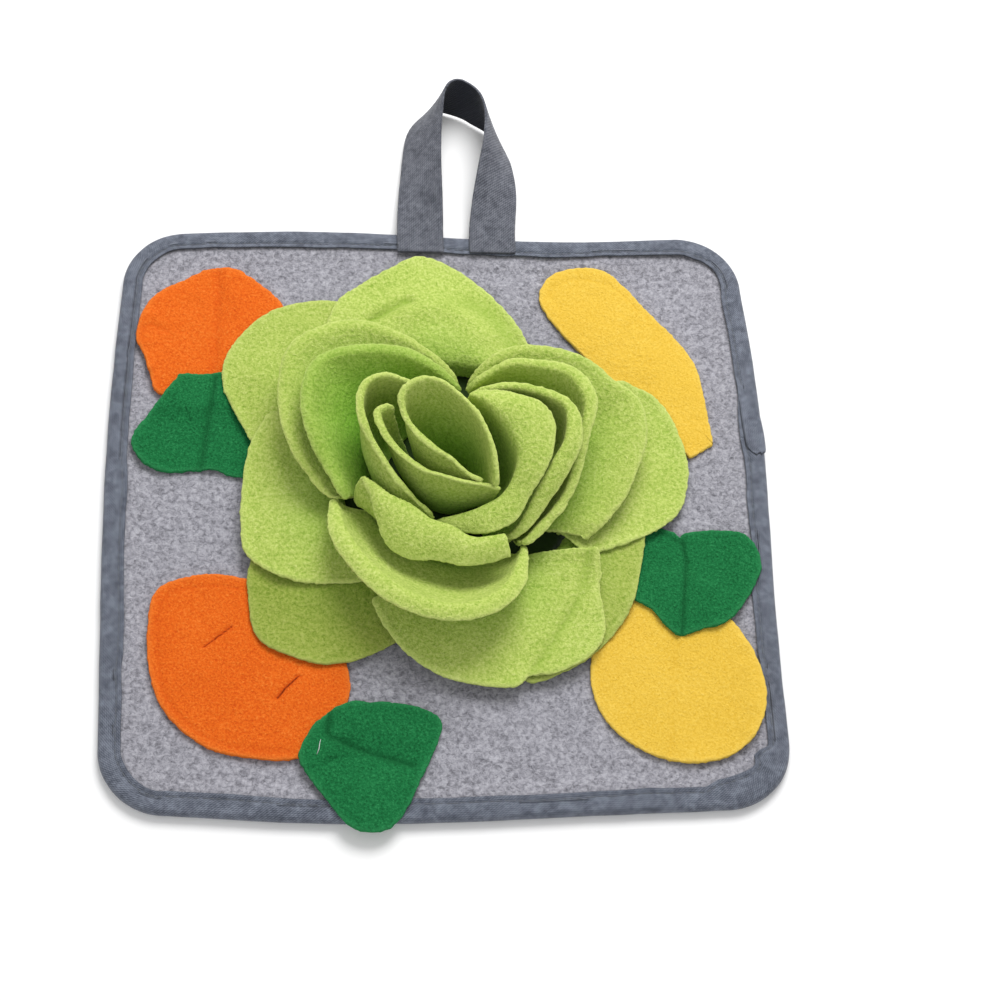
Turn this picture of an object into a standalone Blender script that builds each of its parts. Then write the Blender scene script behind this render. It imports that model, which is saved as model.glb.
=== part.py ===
"""Snuffle mat: a square of felt bound with tape, a webbing hang loop, fleece fruit and leaves,
and a large fleece flower whose petals are sewn down at their roots and stand open to hide treats.

Frame: metres, +Z up. The origin is the middle of the mat's underside, and +Y points to the hang
loop. Below, sizes are in millimetres and angles in degrees; only the finished meshes are in metres.
"""
import math
from collections import namedtuple

import bpy
import numpy as np
from mathutils import Vector
from mathutils.bvhtree import BVHTree

MM = 0.001

# ---- driving sizes ---------------------------------------------------------------------------
MAT_HALF = 148.5             # half side of the bound square, before each side's own unevenness
CORNER_RADIUS = 30.0
FELT_THICKNESS = 3.0
TAPE_THICKNESS = 1.0
BINDING_TOP_WIDTH = 10.0     # how far the tape reaches over the felt
BINDING_UNDER_WIDTH = 9.0   # and under it
LAP_Y = 34.0                 # where the tape's two ends meet on the right-hand side
LAP_LENGTH = 9.0             # how far the end from above laps down over the other
PETAL_THICKNESS = 2.0
PATCH_THICKNESS = 1.8        # fruit and leaves
WEBBING_WIDTH = 21.5
WEBBING_THICKNESS = 1.3
GAP = 0.3                    # air between pieces that touch
FELT_EDGE_LIFT = TAPE_THICKNESS + GAP              # the felt's edge lies over the tape's lower leg
BINDING_TOP = 2 * TAPE_THICKNESS + 2 * GAP + FELT_THICKNESS
FELT_INSET = TAPE_THICKNESS + GAP                  # felt edge to the binding's outer face
FELT_FLAT_INSET = 20.0       # further in than this the felt lies flat on the floor

CORNER_STEPS = 5             # facets in each rounded corner
SIDE_STEPS = 6               # and along each side
PETAL_ROWS = 6               # facets from root to rim
PETAL_COLUMNS = 11          # and across

FLOWER_X = 4.0               # the flower's axis, seen from above
FLOWER_Y = 12.0

# The bound square isn't quite square: each side bows out by bulge, and leans by wave.
Side = namedtuple("Side", "name bulge wave")
SIDES = [
    Side("right", 2.4, -1.3),
    Side("top", -0.3, -2.2),
    Side("left", 3.3, 0.4),
    Side("bottom", 4.2, 1.0),
]

# The hang loop's two long edges; the inner one rises until the webbing stands on its outer edge.
LoopStation = namedtuple("LoopStation", "outer inner")
LOOP = [
    LoopStation((-17.4, 137.5, 6.6), (4.1, 137.5, 6.6)),
    LoopStation((-17.4, 150.0, 6.9), (4.1, 150.0, 6.9)),
    LoopStation((-16.6, 167.0, 5.6), (4.0, 167.0, 11.0)),
    LoopStation((-15.4, 181.0, 4.5), (3.8, 179.0, 14.0)),
    LoopStation((-14.2, 194.0, 3.5), (3.8, 191.0, 15.0)),
    LoopStation((-12.5, 207.0, 3.0), (4.2, 204.0, 16.3)),
    LoopStation((-9.8, 215.0, 2.6), (4.8, 212.0, 18.2)),
    LoopStation((-4.2, 222.5, 2.2), (5.4, 219.0, 21.0)),
    LoopStation((0.5, 226.6, 2.0), (6.4, 224.2, 22.5)),
    LoopStation((6.0, 227.2, 2.0), (9.4, 229.0, 23.1)),
    LoopStation((15.2, 223.8, 2.0), (14.6, 231.0, 22.2)),
    LoopStation((21.1, 219.8, 2.0), (19.6, 228.4, 21.6)),
    LoopStation((26.6, 216.0, 2.0), (23.4, 224.0, 21.7)),
    LoopStation((31.5, 212.0, 2.2), (25.6, 217.6, 21.9)),
    LoopStation((34.6, 206.5, 2.5), (26.4, 211.0, 21.8)),
    LoopStation((37.5, 198.5, 3.0), (26.1, 203.0, 20.6)),
    LoopStation((39.4, 191.0, 3.8), (25.0, 194.0, 19.5)),
    LoopStation((40.8, 177.0, 4.8), (21.9, 179.5, 14.7)),
    LoopStation((40.3, 163.0, 6.0), (19.0, 163.0, 9.0)),
    LoopStation((39.2, 150.0, 6.9), (17.6, 150.0, 6.9)),
    LoopStation((39.0, 137.5, 6.6), (17.5, 137.5, 6.6)),
]

# Fruit and leaves, as the points of their outlines, anticlockwise from above.
Patch = namedtuple("Patch", "name colour outline")
ORANGE = (1.0, 0.18, 0.01)
YELLOW = (1.0, 0.60, 0.05)
LEAF_GREEN = (0.01, 0.22, 0.05)
LIME = (0.33, 0.60, 0.08)
FELT_GREY = (0.38, 0.37, 0.41)
TAPE_GREY = (0.13, 0.14, 0.17)
WEBBING_GREY = (0.16, 0.16, 0.20)

PATCHES = [
    Patch("radish_top_left", ORANGE, [
        (-128, 57), (-108, 56), (-85, 66), (-70, 88), (-73, 106), (-79, 114), (-87, 121), (-97, 127),
        (-109, 126), (-121, 119), (-131, 112), (-138, 100), (-140, 87), (-136, 77), (-133, 67)]),
    Patch("banana_top_right", YELLOW, [
        (110, 32), (115, 26), (117, 25), (126, 31), (127, 33), (126, 44), (125, 57), (122, 75),
        (114, 89), (103, 103), (91, 119), (82, 127), (70, 129), (57, 125), (51, 116), (52, 106),
        (62, 90), (76, 73), (92, 56), (104, 43)]),
    Patch("carrot_bottom_left", ORANGE, [
        (-89, -39), (-66, -43), (-50, -61), (-43, -83), (-43, -97), (-52, -117), (-66, -124),
        (-85, -123), (-103, -118), (-119, -104), (-127, -86), (-129, -64), (-126, -45),
        (-112, -38), (-100, -37)]),
    Patch("pear_bottom_right", YELLOW, [
        (82, -53), (92, -45), (108, -45), (121, -52), (131, -66), (138, -83), (139, -100),
        (132, -116), (119, -125), (104, -127), (88, -123), (74, -113), (66, -100), (64, -83),
        (69, -65)]),
    Patch("leaf_left", LEAF_GREEN, [
        (-86, 15), (-80, 31), (-86, 51), (-97, 66), (-110, 66), (-119, 66), (-122, 62),
        (-133, 45), (-139, 34), (-139, 27), (-134, 20), (-124, 16), (-110, 17), (-102, 17),
        (-95, 14)]),
    Patch("leaf_bottom", LEAF_GREEN, [
        (-44, -153), (-33, -158), (-23, -154), (-16, -143), (-12, -133), (-6, -120), (-3, -109),
        (-8, -103), (-18, -100), (-30, -99), (-43, -100), (-54, -107), (-60, -115), (-63, -124),
        (-58, -134)]),
    Patch("leaf_right", LEAF_GREEN, [
        (82, -46), (82, -29), (91, -15), (98, -13), (105, -16), (108, -18), (111, -16),
        (122, -15), (133, -16), (140, -21), (143, -29), (142, -37), (135, -50), (125, -61),
        (115, -64), (104, -67), (98, -62), (92, -54)]),
]

# A petal is sewn at its root, an arc round the flower's axis, and rises as a wall to its crest,
# where a lip turns outwards. The crest runs through the stations, anticlockwise from above, each
# (bearing, distance from the axis, height, width of the lip); the first and last stations are the
# petal's widest points. The bows move the middle of the wall off the straight line from root to
# crest, up and inwards, or down and outwards if negative, at the petal's first and last side. drop
# is how far the lip's rim falls below the crest, as a share of the lip's width.
Petal = namedtuple("Petal", "name root_radius root_from root_to bow_from bow_to hump drop crest")
PETALS = [
    Petal("petal_outer_back_left", 46, 122, 166, 8, 8, 0.6, 0.1,
          [(112, 94, 7, 2), (119, 105, 6, 3), (128, 115, 6, 3), (137, 119, 6, 3), (146, 118, 6, 3),
           (154, 112, 6, 3), (161, 99, 6, 3), (169, 86, 7, 2)]),
    Petal("petal_outer_front_left", 46, 210, 250, 6, 6, 0.6, 0.1,
          [(202, 88, 8, 2), (207, 98, 6, 2), (214, 106, 5, 2), (223, 115, 5, 2), (231, 112, 5, 2),
           (239, 106, 5, 2), (247, 94, 6, 2), (253, 80, 7, 2)]),
    Petal("petal_outer_front_right", 60, 292, 336, 4, 4, 0.6, 0.1,
          [(287, 102, 6, 2), (300, 106, 6, 2), (314, 103, 6, 2), (326, 97, 6, 2), (343, 86, 6, 2)]),
    Petal("petal_outer_back", 57, 66, 116, 11, 8, 0.45, 0.1,
          [(58, 72, 12, 3), (63, 78, 10, 3), (70, 87, 9, 3), (80, 100, 8, 3), (89, 112, 8, 3),
           (96, 118, 8, 3), (104, 112, 8, 3), (112, 107, 8, 3), (118, 103, 8, 3), (124, 93, 9, 3)]),
    Petal("petal_outer_left", 50, 166, 226, 7, 7, 0.6, 0.1,
          [(160, 82, 9, 3), (167, 87, 8, 3), (176, 89, 8, 3), (186, 91, 8, 3), (195, 94, 8, 3),
           (203, 97, 8, 3), (210, 93, 8, 3), (218, 85, 8, 3), (226, 74, 9, 3), (233, 65, 10, 2)]),
    Petal("petal_outer_right", 56, 330, 384, 5, 5, 0.6, 0.1,
          [(326, 70, 9, 2), (331, 77, 8, 2), (337, 85, 7, 2), (344, 94, 7, 3), (350, 102, 7, 3),
           (356, 105, 7, 3), (364, 107, 7, 3), (372, 106, 7, 3), (380, 105, 7, 3), (386, 100, 8, 3),
           (391, 92, 9, 3)]),
    Petal("petal_outer_front", 53, 250, 304, 7, 5, 0.6, 0.1,
          [(243, 73, 15, 2), (248, 79, 14, 3), (256, 88, 12, 3), (264, 95, 10, 3), (272, 100, 8, 3),
           (283, 105, 8, 3), (288, 102, 8, 3), (294, 105, 8, 3), (303, 105, 8, 3), (309, 100, 9, 3),
           (315, 87, 12, 3), (321, 80, 15, 3), (325, 74, 18, 2)]),
    Petal("petal_middle_right", 40, 320, 428, 1, 4, 1.0, 0.1,
          [(331, 67, 10, 2), (336, 70, 14, 3), (341, 73, 17, 3), (348, 77, 20, 3), (357, 81, 22, 3), (368, 86, 24, 4),
           (379, 88, 25, 4), (388, 82, 26, 4), (398, 79, 26, 4), (409, 71, 27, 4), (420, 62, 27, 4),
           (429, 52, 25, 3), (436, 42, 17, 2)]),
    Petal("petal_middle_front", 42, 212, 300, -5, -4, 1.0, 0.1,
          [(203, 58, 20, 2), (209, 60, 23, 4), (217, 63, 26, 6), (227, 66, 28, 7), (238, 70, 30, 7),
           (250, 75, 32, 7), (262, 78, 33, 7), (273, 78, 33, 7), (282, 74, 31, 7), (291, 67, 28, 6),
           (299, 58, 23, 4), (305, 52, 19, 2)]),
    Petal("petal_middle_left", 38, 88, 196, 3, 3, 1.0, 0.1,
          [(86, 41, 17, 2), (97, 50, 25, 3), (111, 64, 28, 4), (126, 79, 31, 5), (143, 86, 32, 5),
           (158, 80, 30, 4), (172, 73, 27, 3), (186, 64, 22, 3), (199, 56, 15, 2)]),
    Petal("petal_middle_left_inner", 34, 88, 195, 1, 1, 1.0, 0.1,
          [(84, 34, 25, 2), (99, 40, 33, 3), (115, 50, 38, 4), (131, 60, 41, 4), (146, 70, 42, 4),
           (160, 68, 40, 4), (174, 62, 36, 4), (187, 57, 29, 3), (200, 53, 20, 2)]),
    Petal("petal_inner_front", 36, 216, 292, -12, -3, 1.5, 0.3,
          [(203, 46, 33, 1), (210, 41, 33, 6), (220, 38, 33, 13), (235, 34, 33, 21),
           (253, 36, 32, 20), (267, 38, 33, 17), (279, 44, 32, 13), (289, 46, 32, 11), (297, 47, 31, 10)]),
    Petal("petal_inner_right_low", 33, 318, 430, -6, -6, 1.0, 0.1,
          [(307, 53, 18, 2), (322, 54, 25, 3), (337, 55, 30, 3), (352, 55, 35, 4), (366, 58, 40, 4),
           (378, 63, 43, 5), (391, 62, 43, 5), (404, 54, 42, 4), (418, 46, 39, 3),
           (435, 34, 28, 2)]),
    Petal("petal_inner_right_middle", 29, 298, 428, -8, -8, 1.0, 0.2,
          [(299, 47, 17, 2), (307, 49, 22, 3), (318, 46, 28, 6), (332, 44, 34, 8), (345, 46, 39, 8), (357, 50, 43, 7),
           (367, 52, 45, 6), (377, 52, 45, 4), (388, 45, 45, 3), (400, 37, 45, 3), (413, 30, 43, 3),
           (426, 26, 39, 2)]),
    Petal("petal_inner_right_high", 21, 262, 426, -3, -3, 1.0, 0.05,
          [(258, 30, 19, 1), (278, 29, 25, 9), (293, 30, 30, 13), (308, 32, 34, 13), (321, 32, 38, 10),
           (333, 31, 42, 12), (345, 29, 45, 16), (358, 25, 47, 21), (372, 22, 49, 19),
           (388, 20, 50, 14), (405, 20, 49, 9), (420, 20, 48, 4), (429, 20, 45, 2)]),
    Petal("petal_heart_outer", 30, 124, 254, -6, -4, 1.0, 0.1,
          [(122, 28, 43, 1), (134, 39, 48, 1), (146, 44, 50, 2), (158, 43, 50, 3), (172, 39, 48, 3),
           (185, 35, 44, 2), (199, 32, 40, 1.5), (214, 30, 35, 1.5), (232, 28, 28, 1.5),
           (252, 29, 20, 1.5)]),
    Petal("petal_heart_middle", 17, 158, 310, -2, -3, 1.0, 0.1,
          [(150, 31, 42, 1), (159, 35, 43, 2), (171, 31, 43, 2.5), (186, 26, 42, 2.5), (204, 22, 41, 2),
           (226, 19, 39, 1.5), (250, 17, 38, 1), (276, 18, 37, 1), (298, 22, 36, 1), (314, 29, 34, 1)]),
    Petal("petal_heart_inner", 11, -32, 288, -2, -2, 1.0, 0.1,
          [(-48, 30, 37, 1), (-36, 24, 43, 1), (-13, 17, 47, 1), (30, 13, 50, 1), (75, 15, 52, 1),
           (104, 22, 54, 1), (124, 26, 55, 1.5), (142, 27, 53, 2), (158, 23, 50, 2), (180, 16, 47, 2),
           (215, 11, 44, 1.5), (262, 11, 41, 1), (288, 18, 38, 1), (298, 24, 35, 1)]),
]
ALMOST_FLAT = [petal.name for petal in PETALS if petal.name.startswith("petal_outer")]

PATCH_BRIDGE = 7.0           # how far a patch and an outer petal bridge past an edge below
PETAL_BRIDGE = 4.0
TAPE_CLEARANCE = 0.25        # patches lie this much clearer of the bunched tape
SURFACE_SEARCH = 9.0         # how far from a placed sheet the next one looks for it
FACET_ALLOWANCE = 0.6        # flat facets cut inside the curve they stand for
UNEASED_PASSES = 4           # last pushes, not spread over the cloth around them
STEEPEST = 0.6               # slopes steeper than this are walls, not something to lie on
ROOT_BRIDGE = 3.0            # how far round a sewn edge the cloth below it counts
PROFILE_STEPS = 48           # points along a petal's line before it is cut into facets
PROFILE_PASSES = 16
SOFT_TURN = 0.14             # how much of its lip a petal needs to turn outwards


# ---- small tools -----------------------------------------------------------------------------
def clear_scene():
    for item in list(bpy.data.objects):
        bpy.data.objects.remove(item, do_unlink=True)


def make_material(name, colour, roughness):
    material = bpy.data.materials.new(name)
    material.use_nodes = True
    shader = material.node_tree.nodes["Principled BSDF"]
    shader.inputs["Base Color"].default_value = (*colour, 1.0)
    shader.inputs["Roughness"].default_value = roughness
    shader.inputs["Metallic"].default_value = 0.0
    return material


def add_object(name, points, faces, colour, roughness=0.95):
    """Make a named object of points in millimetres."""
    mesh = bpy.data.meshes.new(name)
    mesh.from_pydata([tuple(point) for point in np.asarray(points) * MM], [], faces)
    mesh.update()
    mesh.materials.append(make_material(name, colour, roughness))
    item = bpy.data.objects.new(name, mesh)
    bpy.context.scene.collection.objects.link(item)
    return item


def add_thickness(item, thickness):
    """Give an open sheet its thickness, half to each side."""
    solidify = item.modifiers.new("thickness", "SOLIDIFY")
    solidify.thickness = thickness * MM
    solidify.offset = 0.0
    solidify.use_even_offset = False
    solidify.use_rim = True


def smooth_step(value):
    value = np.clip(value, 0.0, 1.0)
    return value * value * (3.0 - 2.0 * value)


def smooth_curve(points, values, end_tangents=None):
    """Points on a smooth curve through points, spaced evenly in parameter 0 to 1."""
    points = np.asarray(points, dtype=float)
    count = len(points)
    tangents = np.zeros_like(points)
    tangents[1:-1] = (points[2:] - points[:-2]) / 2.0
    tangents[0] = points[1] - points[0]
    tangents[-1] = points[-1] - points[-2]
    if end_tangents is not None:
        tangents[0], tangents[-1] = end_tangents
    place = np.clip(np.asarray(values, dtype=float), 0.0, 1.0) * (count - 1)
    span = np.minimum(place.astype(int), count - 2)
    t = (place - span)[:, None]
    before, after = points[span], points[span + 1]
    leave, arrive = tangents[span], tangents[span + 1]
    return (before * (2 * t**3 - 3 * t**2 + 1) + leave * (t**3 - 2 * t**2 + t)
            + after * (3 * t**2 - 2 * t**3) + arrive * (t**3 - t**2))


def unit(vectors):
    length = np.linalg.norm(vectors, axis=-1, keepdims=True)
    return vectors / np.maximum(length, 1e-9)


def grid_faces(points):
    """Triangles of a (rows, columns, 3) sheet, each cell split along its shorter diagonal."""
    rows, columns = points.shape[:2]
    faces = []
    for row in range(rows - 1):
        for column in range(columns - 1):
            a = row * columns + column
            b, c, d = a + columns, a + columns + 1, a + 1
            down = np.linalg.norm(points[row, column] - points[row + 1, column + 1])
            up = np.linalg.norm(points[row + 1, column] - points[row, column + 1])
            if down <= up:
                faces += [(a, b, c), (a, c, d)]
            else:
                faces += [(a, b, d), (b, c, d)]
    return faces


# ---- sheets that lie on one another ----------------------------------------------------------
Layer = namedtuple("Layer", "name points spots faces tree half low high")


def make_layer(name, points, faces, half):
    """A placed sheet, as its middle surface and half its thickness."""
    flat = np.asarray(points, dtype=float).reshape(-1, 3)
    tree = BVHTree.FromPolygons([Vector(point) for point in flat], faces)
    spots = [flat]
    for face in faces:
        corners = flat[list(face)]
        spots.append((corners + np.roll(corners, -1, axis=0)) / 2)
    return Layer(name, flat, np.vstack(spots), faces, tree, half, flat.min(axis=0), flat.max(axis=0))


def stand_off(normal, distance):
    """Height that keeps a sheet this far from a slope, measured square to the slope."""
    return distance / max(abs(normal.z), STEEPEST)


def height_under(x, y, half, layers):
    """The lowest a sheet's middle may lie at x, y, on top of every layer."""
    height = -math.inf
    start, down = Vector((x, y, 300.0)), Vector((0.0, 0.0, -1.0))
    for layer in layers:
        if not (layer.low[0] <= x <= layer.high[0] and layer.low[1] <= y <= layer.high[1]):
            continue
        hit, normal = layer.tree.ray_cast(start, down)[:2]
        if hit is not None:
            height = max(height, hit.z + stand_off(normal, layer.half + GAP + half))
    return height


def height_about(x, y, reach, half, layers):
    """The lowest a sheet's middle may lie at x, y and everywhere within reach of it."""
    height = height_under(x, y, half, layers)
    for step in range(8):
        turn = math.tau * step / 8
        over = height_under(x + reach * math.cos(turn), y + reach * math.sin(turn), half, layers)
        height = max(height, over)
    return height


def facet_shortfall(points, faces, half, layers):
    """How much each point must rise for the flat facets to clear every layer below them."""
    short = np.zeros(len(points))
    for face in faces:
        corners = points[list(face)]
        spots = [corners.mean(axis=0)]
        spots.extend((corners + np.roll(corners, -1, axis=0)) / 2)
        for x, y, z in spots:
            lack = height_under(x, y, half, layers) - z
            for corner in face:
                short[corner] = max(short[corner], lack)
    own = BVHTree.FromPolygons([Vector(point) for point in points], faces)
    low, high = points.min(axis=0), points.max(axis=0)
    down = Vector((0.0, 0.0, -1.0))
    for layer in layers:
        for x, y, z in layer.spots:
            if not (low[0] <= x <= high[0] and low[1] <= y <= high[1]):
                continue
            hit, normal, face, _ = own.ray_cast(Vector((x, y, 300.0)), down)
            if hit is not None:
                lack = z + stand_off(normal, layer.half + GAP + half) - hit.z
                for corner in faces[face]:
                    short[corner] = max(short[corner], lack)
    return short


def lay(points, faces, half, layers, link, reach):
    """Rest an almost flat sheet on the layers: it bridges softly over the edges of what it covers."""
    limit = np.array([height_about(x, y, reach, half, layers) for x, y, _ in points])
    height = np.maximum(points[:, 2], limit)
    for _ in range(3):
        height = np.maximum(limit, link @ height)
        height = np.maximum(height, points[:, 2])
    laid = points.copy()
    laid[:, 2] = height
    for _ in range(4):
        laid[:, 2] += facet_shortfall(laid, faces, half, layers)
    return laid


def neighbour_average(count, faces):
    """Matrix that replaces each point's value by the mean of itself and its neighbours."""
    link = np.eye(count) * 2.0
    for face in faces:
        for first, second in zip(face, face[1:] + face[:1]):
            link[first, second] = 1.0
            link[second, first] = 1.0
    return link / link.sum(axis=1, keepdims=True)


def push_from(layer, points, need):
    """Moves that take points to the upper or inner side of a layer, need away from it."""
    moves = np.zeros_like(points)
    low, high = layer.low - need, layer.high + need
    near = np.all((points >= low) & (points <= high), axis=1)
    for index in np.flatnonzero(near):
        point = Vector(points[index])
        spot, normal, _, distance = layer.tree.find_nearest(point, SURFACE_SEARCH)
        if spot is None:
            continue
        away = point - spot
        side = away.dot(normal)
        past_edge = math.sqrt(max(distance * distance - side * side, 0.0))
        if past_edge > 0.8:
            if distance < need and side > -0.5 * need:
                moves[index] = away.normalized() * (need - distance)
        elif side < need:
            moves[index] = normal * (need - side)
    return moves


def settle(points, faces, half, layers, link, allowance, passes):
    """Ease a sheet off every placed layer, and spread each push over the cloth around it."""
    points = points.copy()
    placed = points.copy()
    for number in range(passes):
        push = np.zeros_like(points)
        for layer in layers:
            need = half + layer.half + GAP + allowance
            if np.any(layer.low - need > points.max(axis=0)):
                continue
            if np.any(layer.high + need < points.min(axis=0)):
                continue
            moves = push_from(layer, points, need)
            longer = np.linalg.norm(moves, axis=1) > np.linalg.norm(push, axis=1)
            push[longer] = moves[longer]
            own = BVHTree.FromPolygons([Vector(point) for point in points], faces)
            for spot in layer.points:
                if np.any(spot < points.min(axis=0) - need) or np.any(spot > points.max(axis=0) + need):
                    continue
                close, normal, face, distance = own.find_nearest(Vector(spot), SURFACE_SEARCH)
                if close is None:
                    continue
                side = (Vector(spot) - close).dot(normal)
                past_edge = math.sqrt(max(distance * distance - side * side, 0.0))
                if past_edge < 0.8 and side > -need:
                    move = np.array(normal) * (side + need)
                    for corner in faces[face]:
                        if np.linalg.norm(move) > np.linalg.norm(push[corner]):
                            push[corner] = move
        if not push.any():
            break
        if number >= passes - UNEASED_PASSES:
            points = points + push
            continue
        shift = points + push - placed
        eased = link @ (link @ shift)
        pushed = np.linalg.norm(push, axis=1) > 0.0
        shift = np.where(pushed[:, None], 0.7 * shift + 0.3 * eased, eased)
        points = placed + shift
    return points


# ---- felt, binding and loop ------------------------------------------------------------------
def mat_edge(inset, side_steps=SIDE_STEPS, corner_steps=CORNER_STEPS):
    """Anticlockwise outline of the mat, inset from its edge, starting at the foot of the right side."""
    straight = MAT_HALF - CORNER_RADIUS
    points = []
    for number, side in enumerate(SIDES):
        turn = math.radians(90 * number)
        outward = np.array([math.cos(turn), math.sin(turn)])
        along = np.array([-math.sin(turn), math.cos(turn)])
        for step in range(side_steps):
            t = step / side_steps
            bow = side.bulge * math.sin(math.pi * t) + side.wave * math.sin(math.tau * t)
            points.append(outward * (MAT_HALF + bow - inset) + along * straight * (2 * t - 1))
        centre = outward * straight + along * straight
        for step in range(corner_steps):
            angle = turn + math.pi / 2 * step / corner_steps
            arm = np.array([math.cos(angle), math.sin(angle)])
            points.append(centre + arm * (CORNER_RADIUS - inset))
    return np.array(points)


def ring_of(points, height):
    return np.column_stack([points, np.full(len(points), height)])


def felt_lift(inset):
    """How far the felt is raised off the floor, at a distance in from the mat's edge."""
    start = BINDING_TOP_WIDTH + 0.5
    return FELT_EDGE_LIFT * (1.0 - smooth_step((inset - start) / (FELT_FLAT_INSET - start)))


def make_felt():
    insets = [FELT_INSET, BINDING_TOP_WIDTH + 0.5, 15.0, FELT_FLAT_INSET]
    rings = []
    for inset in insets:
        rings.append(ring_of(mat_edge(inset), felt_lift(inset)))
    count = len(rings[0])
    under = np.concatenate(rings)
    upper = under + np.array([0.0, 0.0, FELT_THICKNESS])
    shift = len(under)
    faces = []
    for ring in range(len(rings) - 1):
        for step in range(count):
            a = ring * count + step
            b = ring * count + (step + 1) % count
            c, d = b + count, a + count
            faces.append((a + shift, b + shift, c + shift, d + shift))
            faces.append((b, a, d, c))
    inner = (len(rings) - 1) * count
    faces.append(tuple(range(inner + shift, inner + shift + count)))
    faces.append(tuple(reversed(range(inner, inner + count))))
    for step in range(count):
        following = (step + 1) % count
        faces.append((step, following, following + shift, step + shift))
    return add_object("base_felt", np.concatenate([under, upper]), faces, FELT_GREY)


def felt_top_layer():
    """The felt's upper face, which everything sewn on the mat lies on."""
    insets = [0.5, BINDING_TOP_WIDTH + 0.5, 15.0, FELT_FLAT_INSET]
    rings = [ring_of(mat_edge(inset), FELT_THICKNESS + felt_lift(inset)) for inset in insets]
    return ring_layer("felt", rings, 0.0, close_middle=True)


def binding_top_layer():
    height = BINDING_TOP + TAPE_CLEARANCE
    rings = [ring_of(mat_edge(inset), height) for inset in (0.0, BINDING_TOP_WIDTH)]
    return ring_layer("binding", rings, 0.0, close_middle=False)


def ring_layer(name, rings, half, close_middle):
    count = len(rings[0])
    faces = []
    for ring in range(len(rings) - 1):
        for step in range(count):
            a = ring * count + step
            b = ring * count + (step + 1) % count
            faces += [(a, b, b + count), (a, b + count, a + count)]
    points = np.concatenate(rings)
    if close_middle:
        inner = (len(rings) - 1) * count
        points = np.vstack([points, [0.0, 0.0, rings[-1][0][2]]])
        for step in range(count):
            faces.append((inner + step, inner + (step + 1) % count, len(points) - 1))
    return make_layer(name, points, faces, half)


def binding_section():
    """The folded tape across its length: (distance in from the mat's edge, height)."""
    t, top = TAPE_THICKNESS, BINDING_TOP
    bevel = 0.9
    return [
        (BINDING_UNDER_WIDTH, 0.0), (bevel, 0.0), (0.0, bevel + 0.4), (0.0, top - bevel - 0.4),
        (bevel, top), (BINDING_TOP_WIDTH, top), (BINDING_TOP_WIDTH, top - t), (t + 0.3, top - t),
        (t, top - t - 0.5), (t, t + 0.5), (t + 0.3, t), (BINDING_UNDER_WIDTH, t),
    ]


def strip_solid(sections):
    """Points and faces of a closed strip through equal rings of points, with flat ends."""
    count = len(sections[0])
    points = np.concatenate(sections)
    faces = []
    for ring in range(len(sections) - 1):
        for step in range(count):
            a = ring * count + step
            b = ring * count + (step + 1) % count
            faces.append((a, b, b + count, a + count))
    faces.append(tuple(reversed(range(count))))
    last = (len(sections) - 1) * count
    faces.append(tuple(range(last, last + count)))
    return points, faces


def edge_stations():
    """Arc positions along the mat's edge: the point and the direction straight in from it."""
    outer, inner = mat_edge(0.0), mat_edge(10.0)
    return outer, (inner - outer) / 10.0


def start_at_lap(outer, inward):
    """Turn the closed edge into an open run that starts and ends at the lap on the right side."""
    above = [i for i in range(SIDE_STEPS) if outer[i][1] > LAP_Y + 1.0]
    first = above[0]
    lower, upper = outer[first - 1], outer[first]
    share = (LAP_Y - lower[1]) / (upper[1] - lower[1])
    point = lower + (upper - lower) * share
    direction = inward[first - 1] + (inward[first] - inward[first - 1]) * share
    order = [(first + k) % len(outer) for k in range(len(outer))]
    small = np.array([0.0, GAP / 2])
    points = [point + small] + [outer[i] for i in order] + [point - small]
    arms = [direction] + [inward[i] for i in order] + [direction]
    return points, arms


def make_binding():
    points, arms = start_at_lap(*edge_stations())
    sections = []
    for point, arm in zip(points, arms):
        ring = [[*(point + arm * depth), height] for depth, height in binding_section()]
        sections.append(np.array(ring))
    strip = add_object("edge_binding", *strip_solid(sections), TAPE_GREY)

    # The upper leg of the end from above runs on past the butt and lies over the other end.
    join, arm = points[0], arms[0]
    depths = [0.15, BINDING_TOP_WIDTH - 0.15]
    low, high = BINDING_TOP - TAPE_THICKNESS * 0.8, BINDING_TOP + GAP
    profile = [(-LAP_LENGTH, high), (-1.0, high), (3.0, low + 0.1), (7.0, low)]
    sections = []
    for distance, height in profile:
        place = join + np.array([0.0, distance])
        corners = [(depths[0], height), (depths[1], height),
                   (depths[1], height + TAPE_THICKNESS), (depths[0], height + TAPE_THICKNESS)]
        sections.append(np.array([[*(place + arm * depth), z] for depth, z in corners]))
    lap = add_object("binding_lap_guide", *strip_solid(sections), TAPE_GREY)
    lap.hide_render = True
    lap.display_type = "WIRE"
    union = strip.modifiers.new("lap", "BOOLEAN")
    union.operation = "UNION"
    union.solver = "EXACT"
    union.object = lap
    return strip


def make_loop():
    steps = 40
    values = np.linspace(0.0, 1.0, steps + 1)
    outer = smooth_curve([station.outer for station in LOOP], values)
    inner = smooth_curve([station.inner for station in LOOP], values)
    path, across = (outer + inner) / 2, inner - outer
    across *= (WEBBING_WIDTH / np.linalg.norm(across, axis=1))[:, None]
    sections = []
    for number in range(steps + 1):
        before, after = max(number - 1, 0), min(number + 1, steps)
        face = unit(np.cross(across[number], path[after] - path[before]))
        corners = []
        for wide, thick in ((-1, 1), (0, 1), (1, 1), (1, -1), (0, -1), (-1, -1)):
            corners.append(path[number] + across[number] * wide / 2
                           + face * thick * WEBBING_THICKNESS / 2)
        sections.append(np.array(corners))
    points, faces = strip_solid(sections)
    return add_object("hang_loop", points, faces, WEBBING_GREY)


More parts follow.
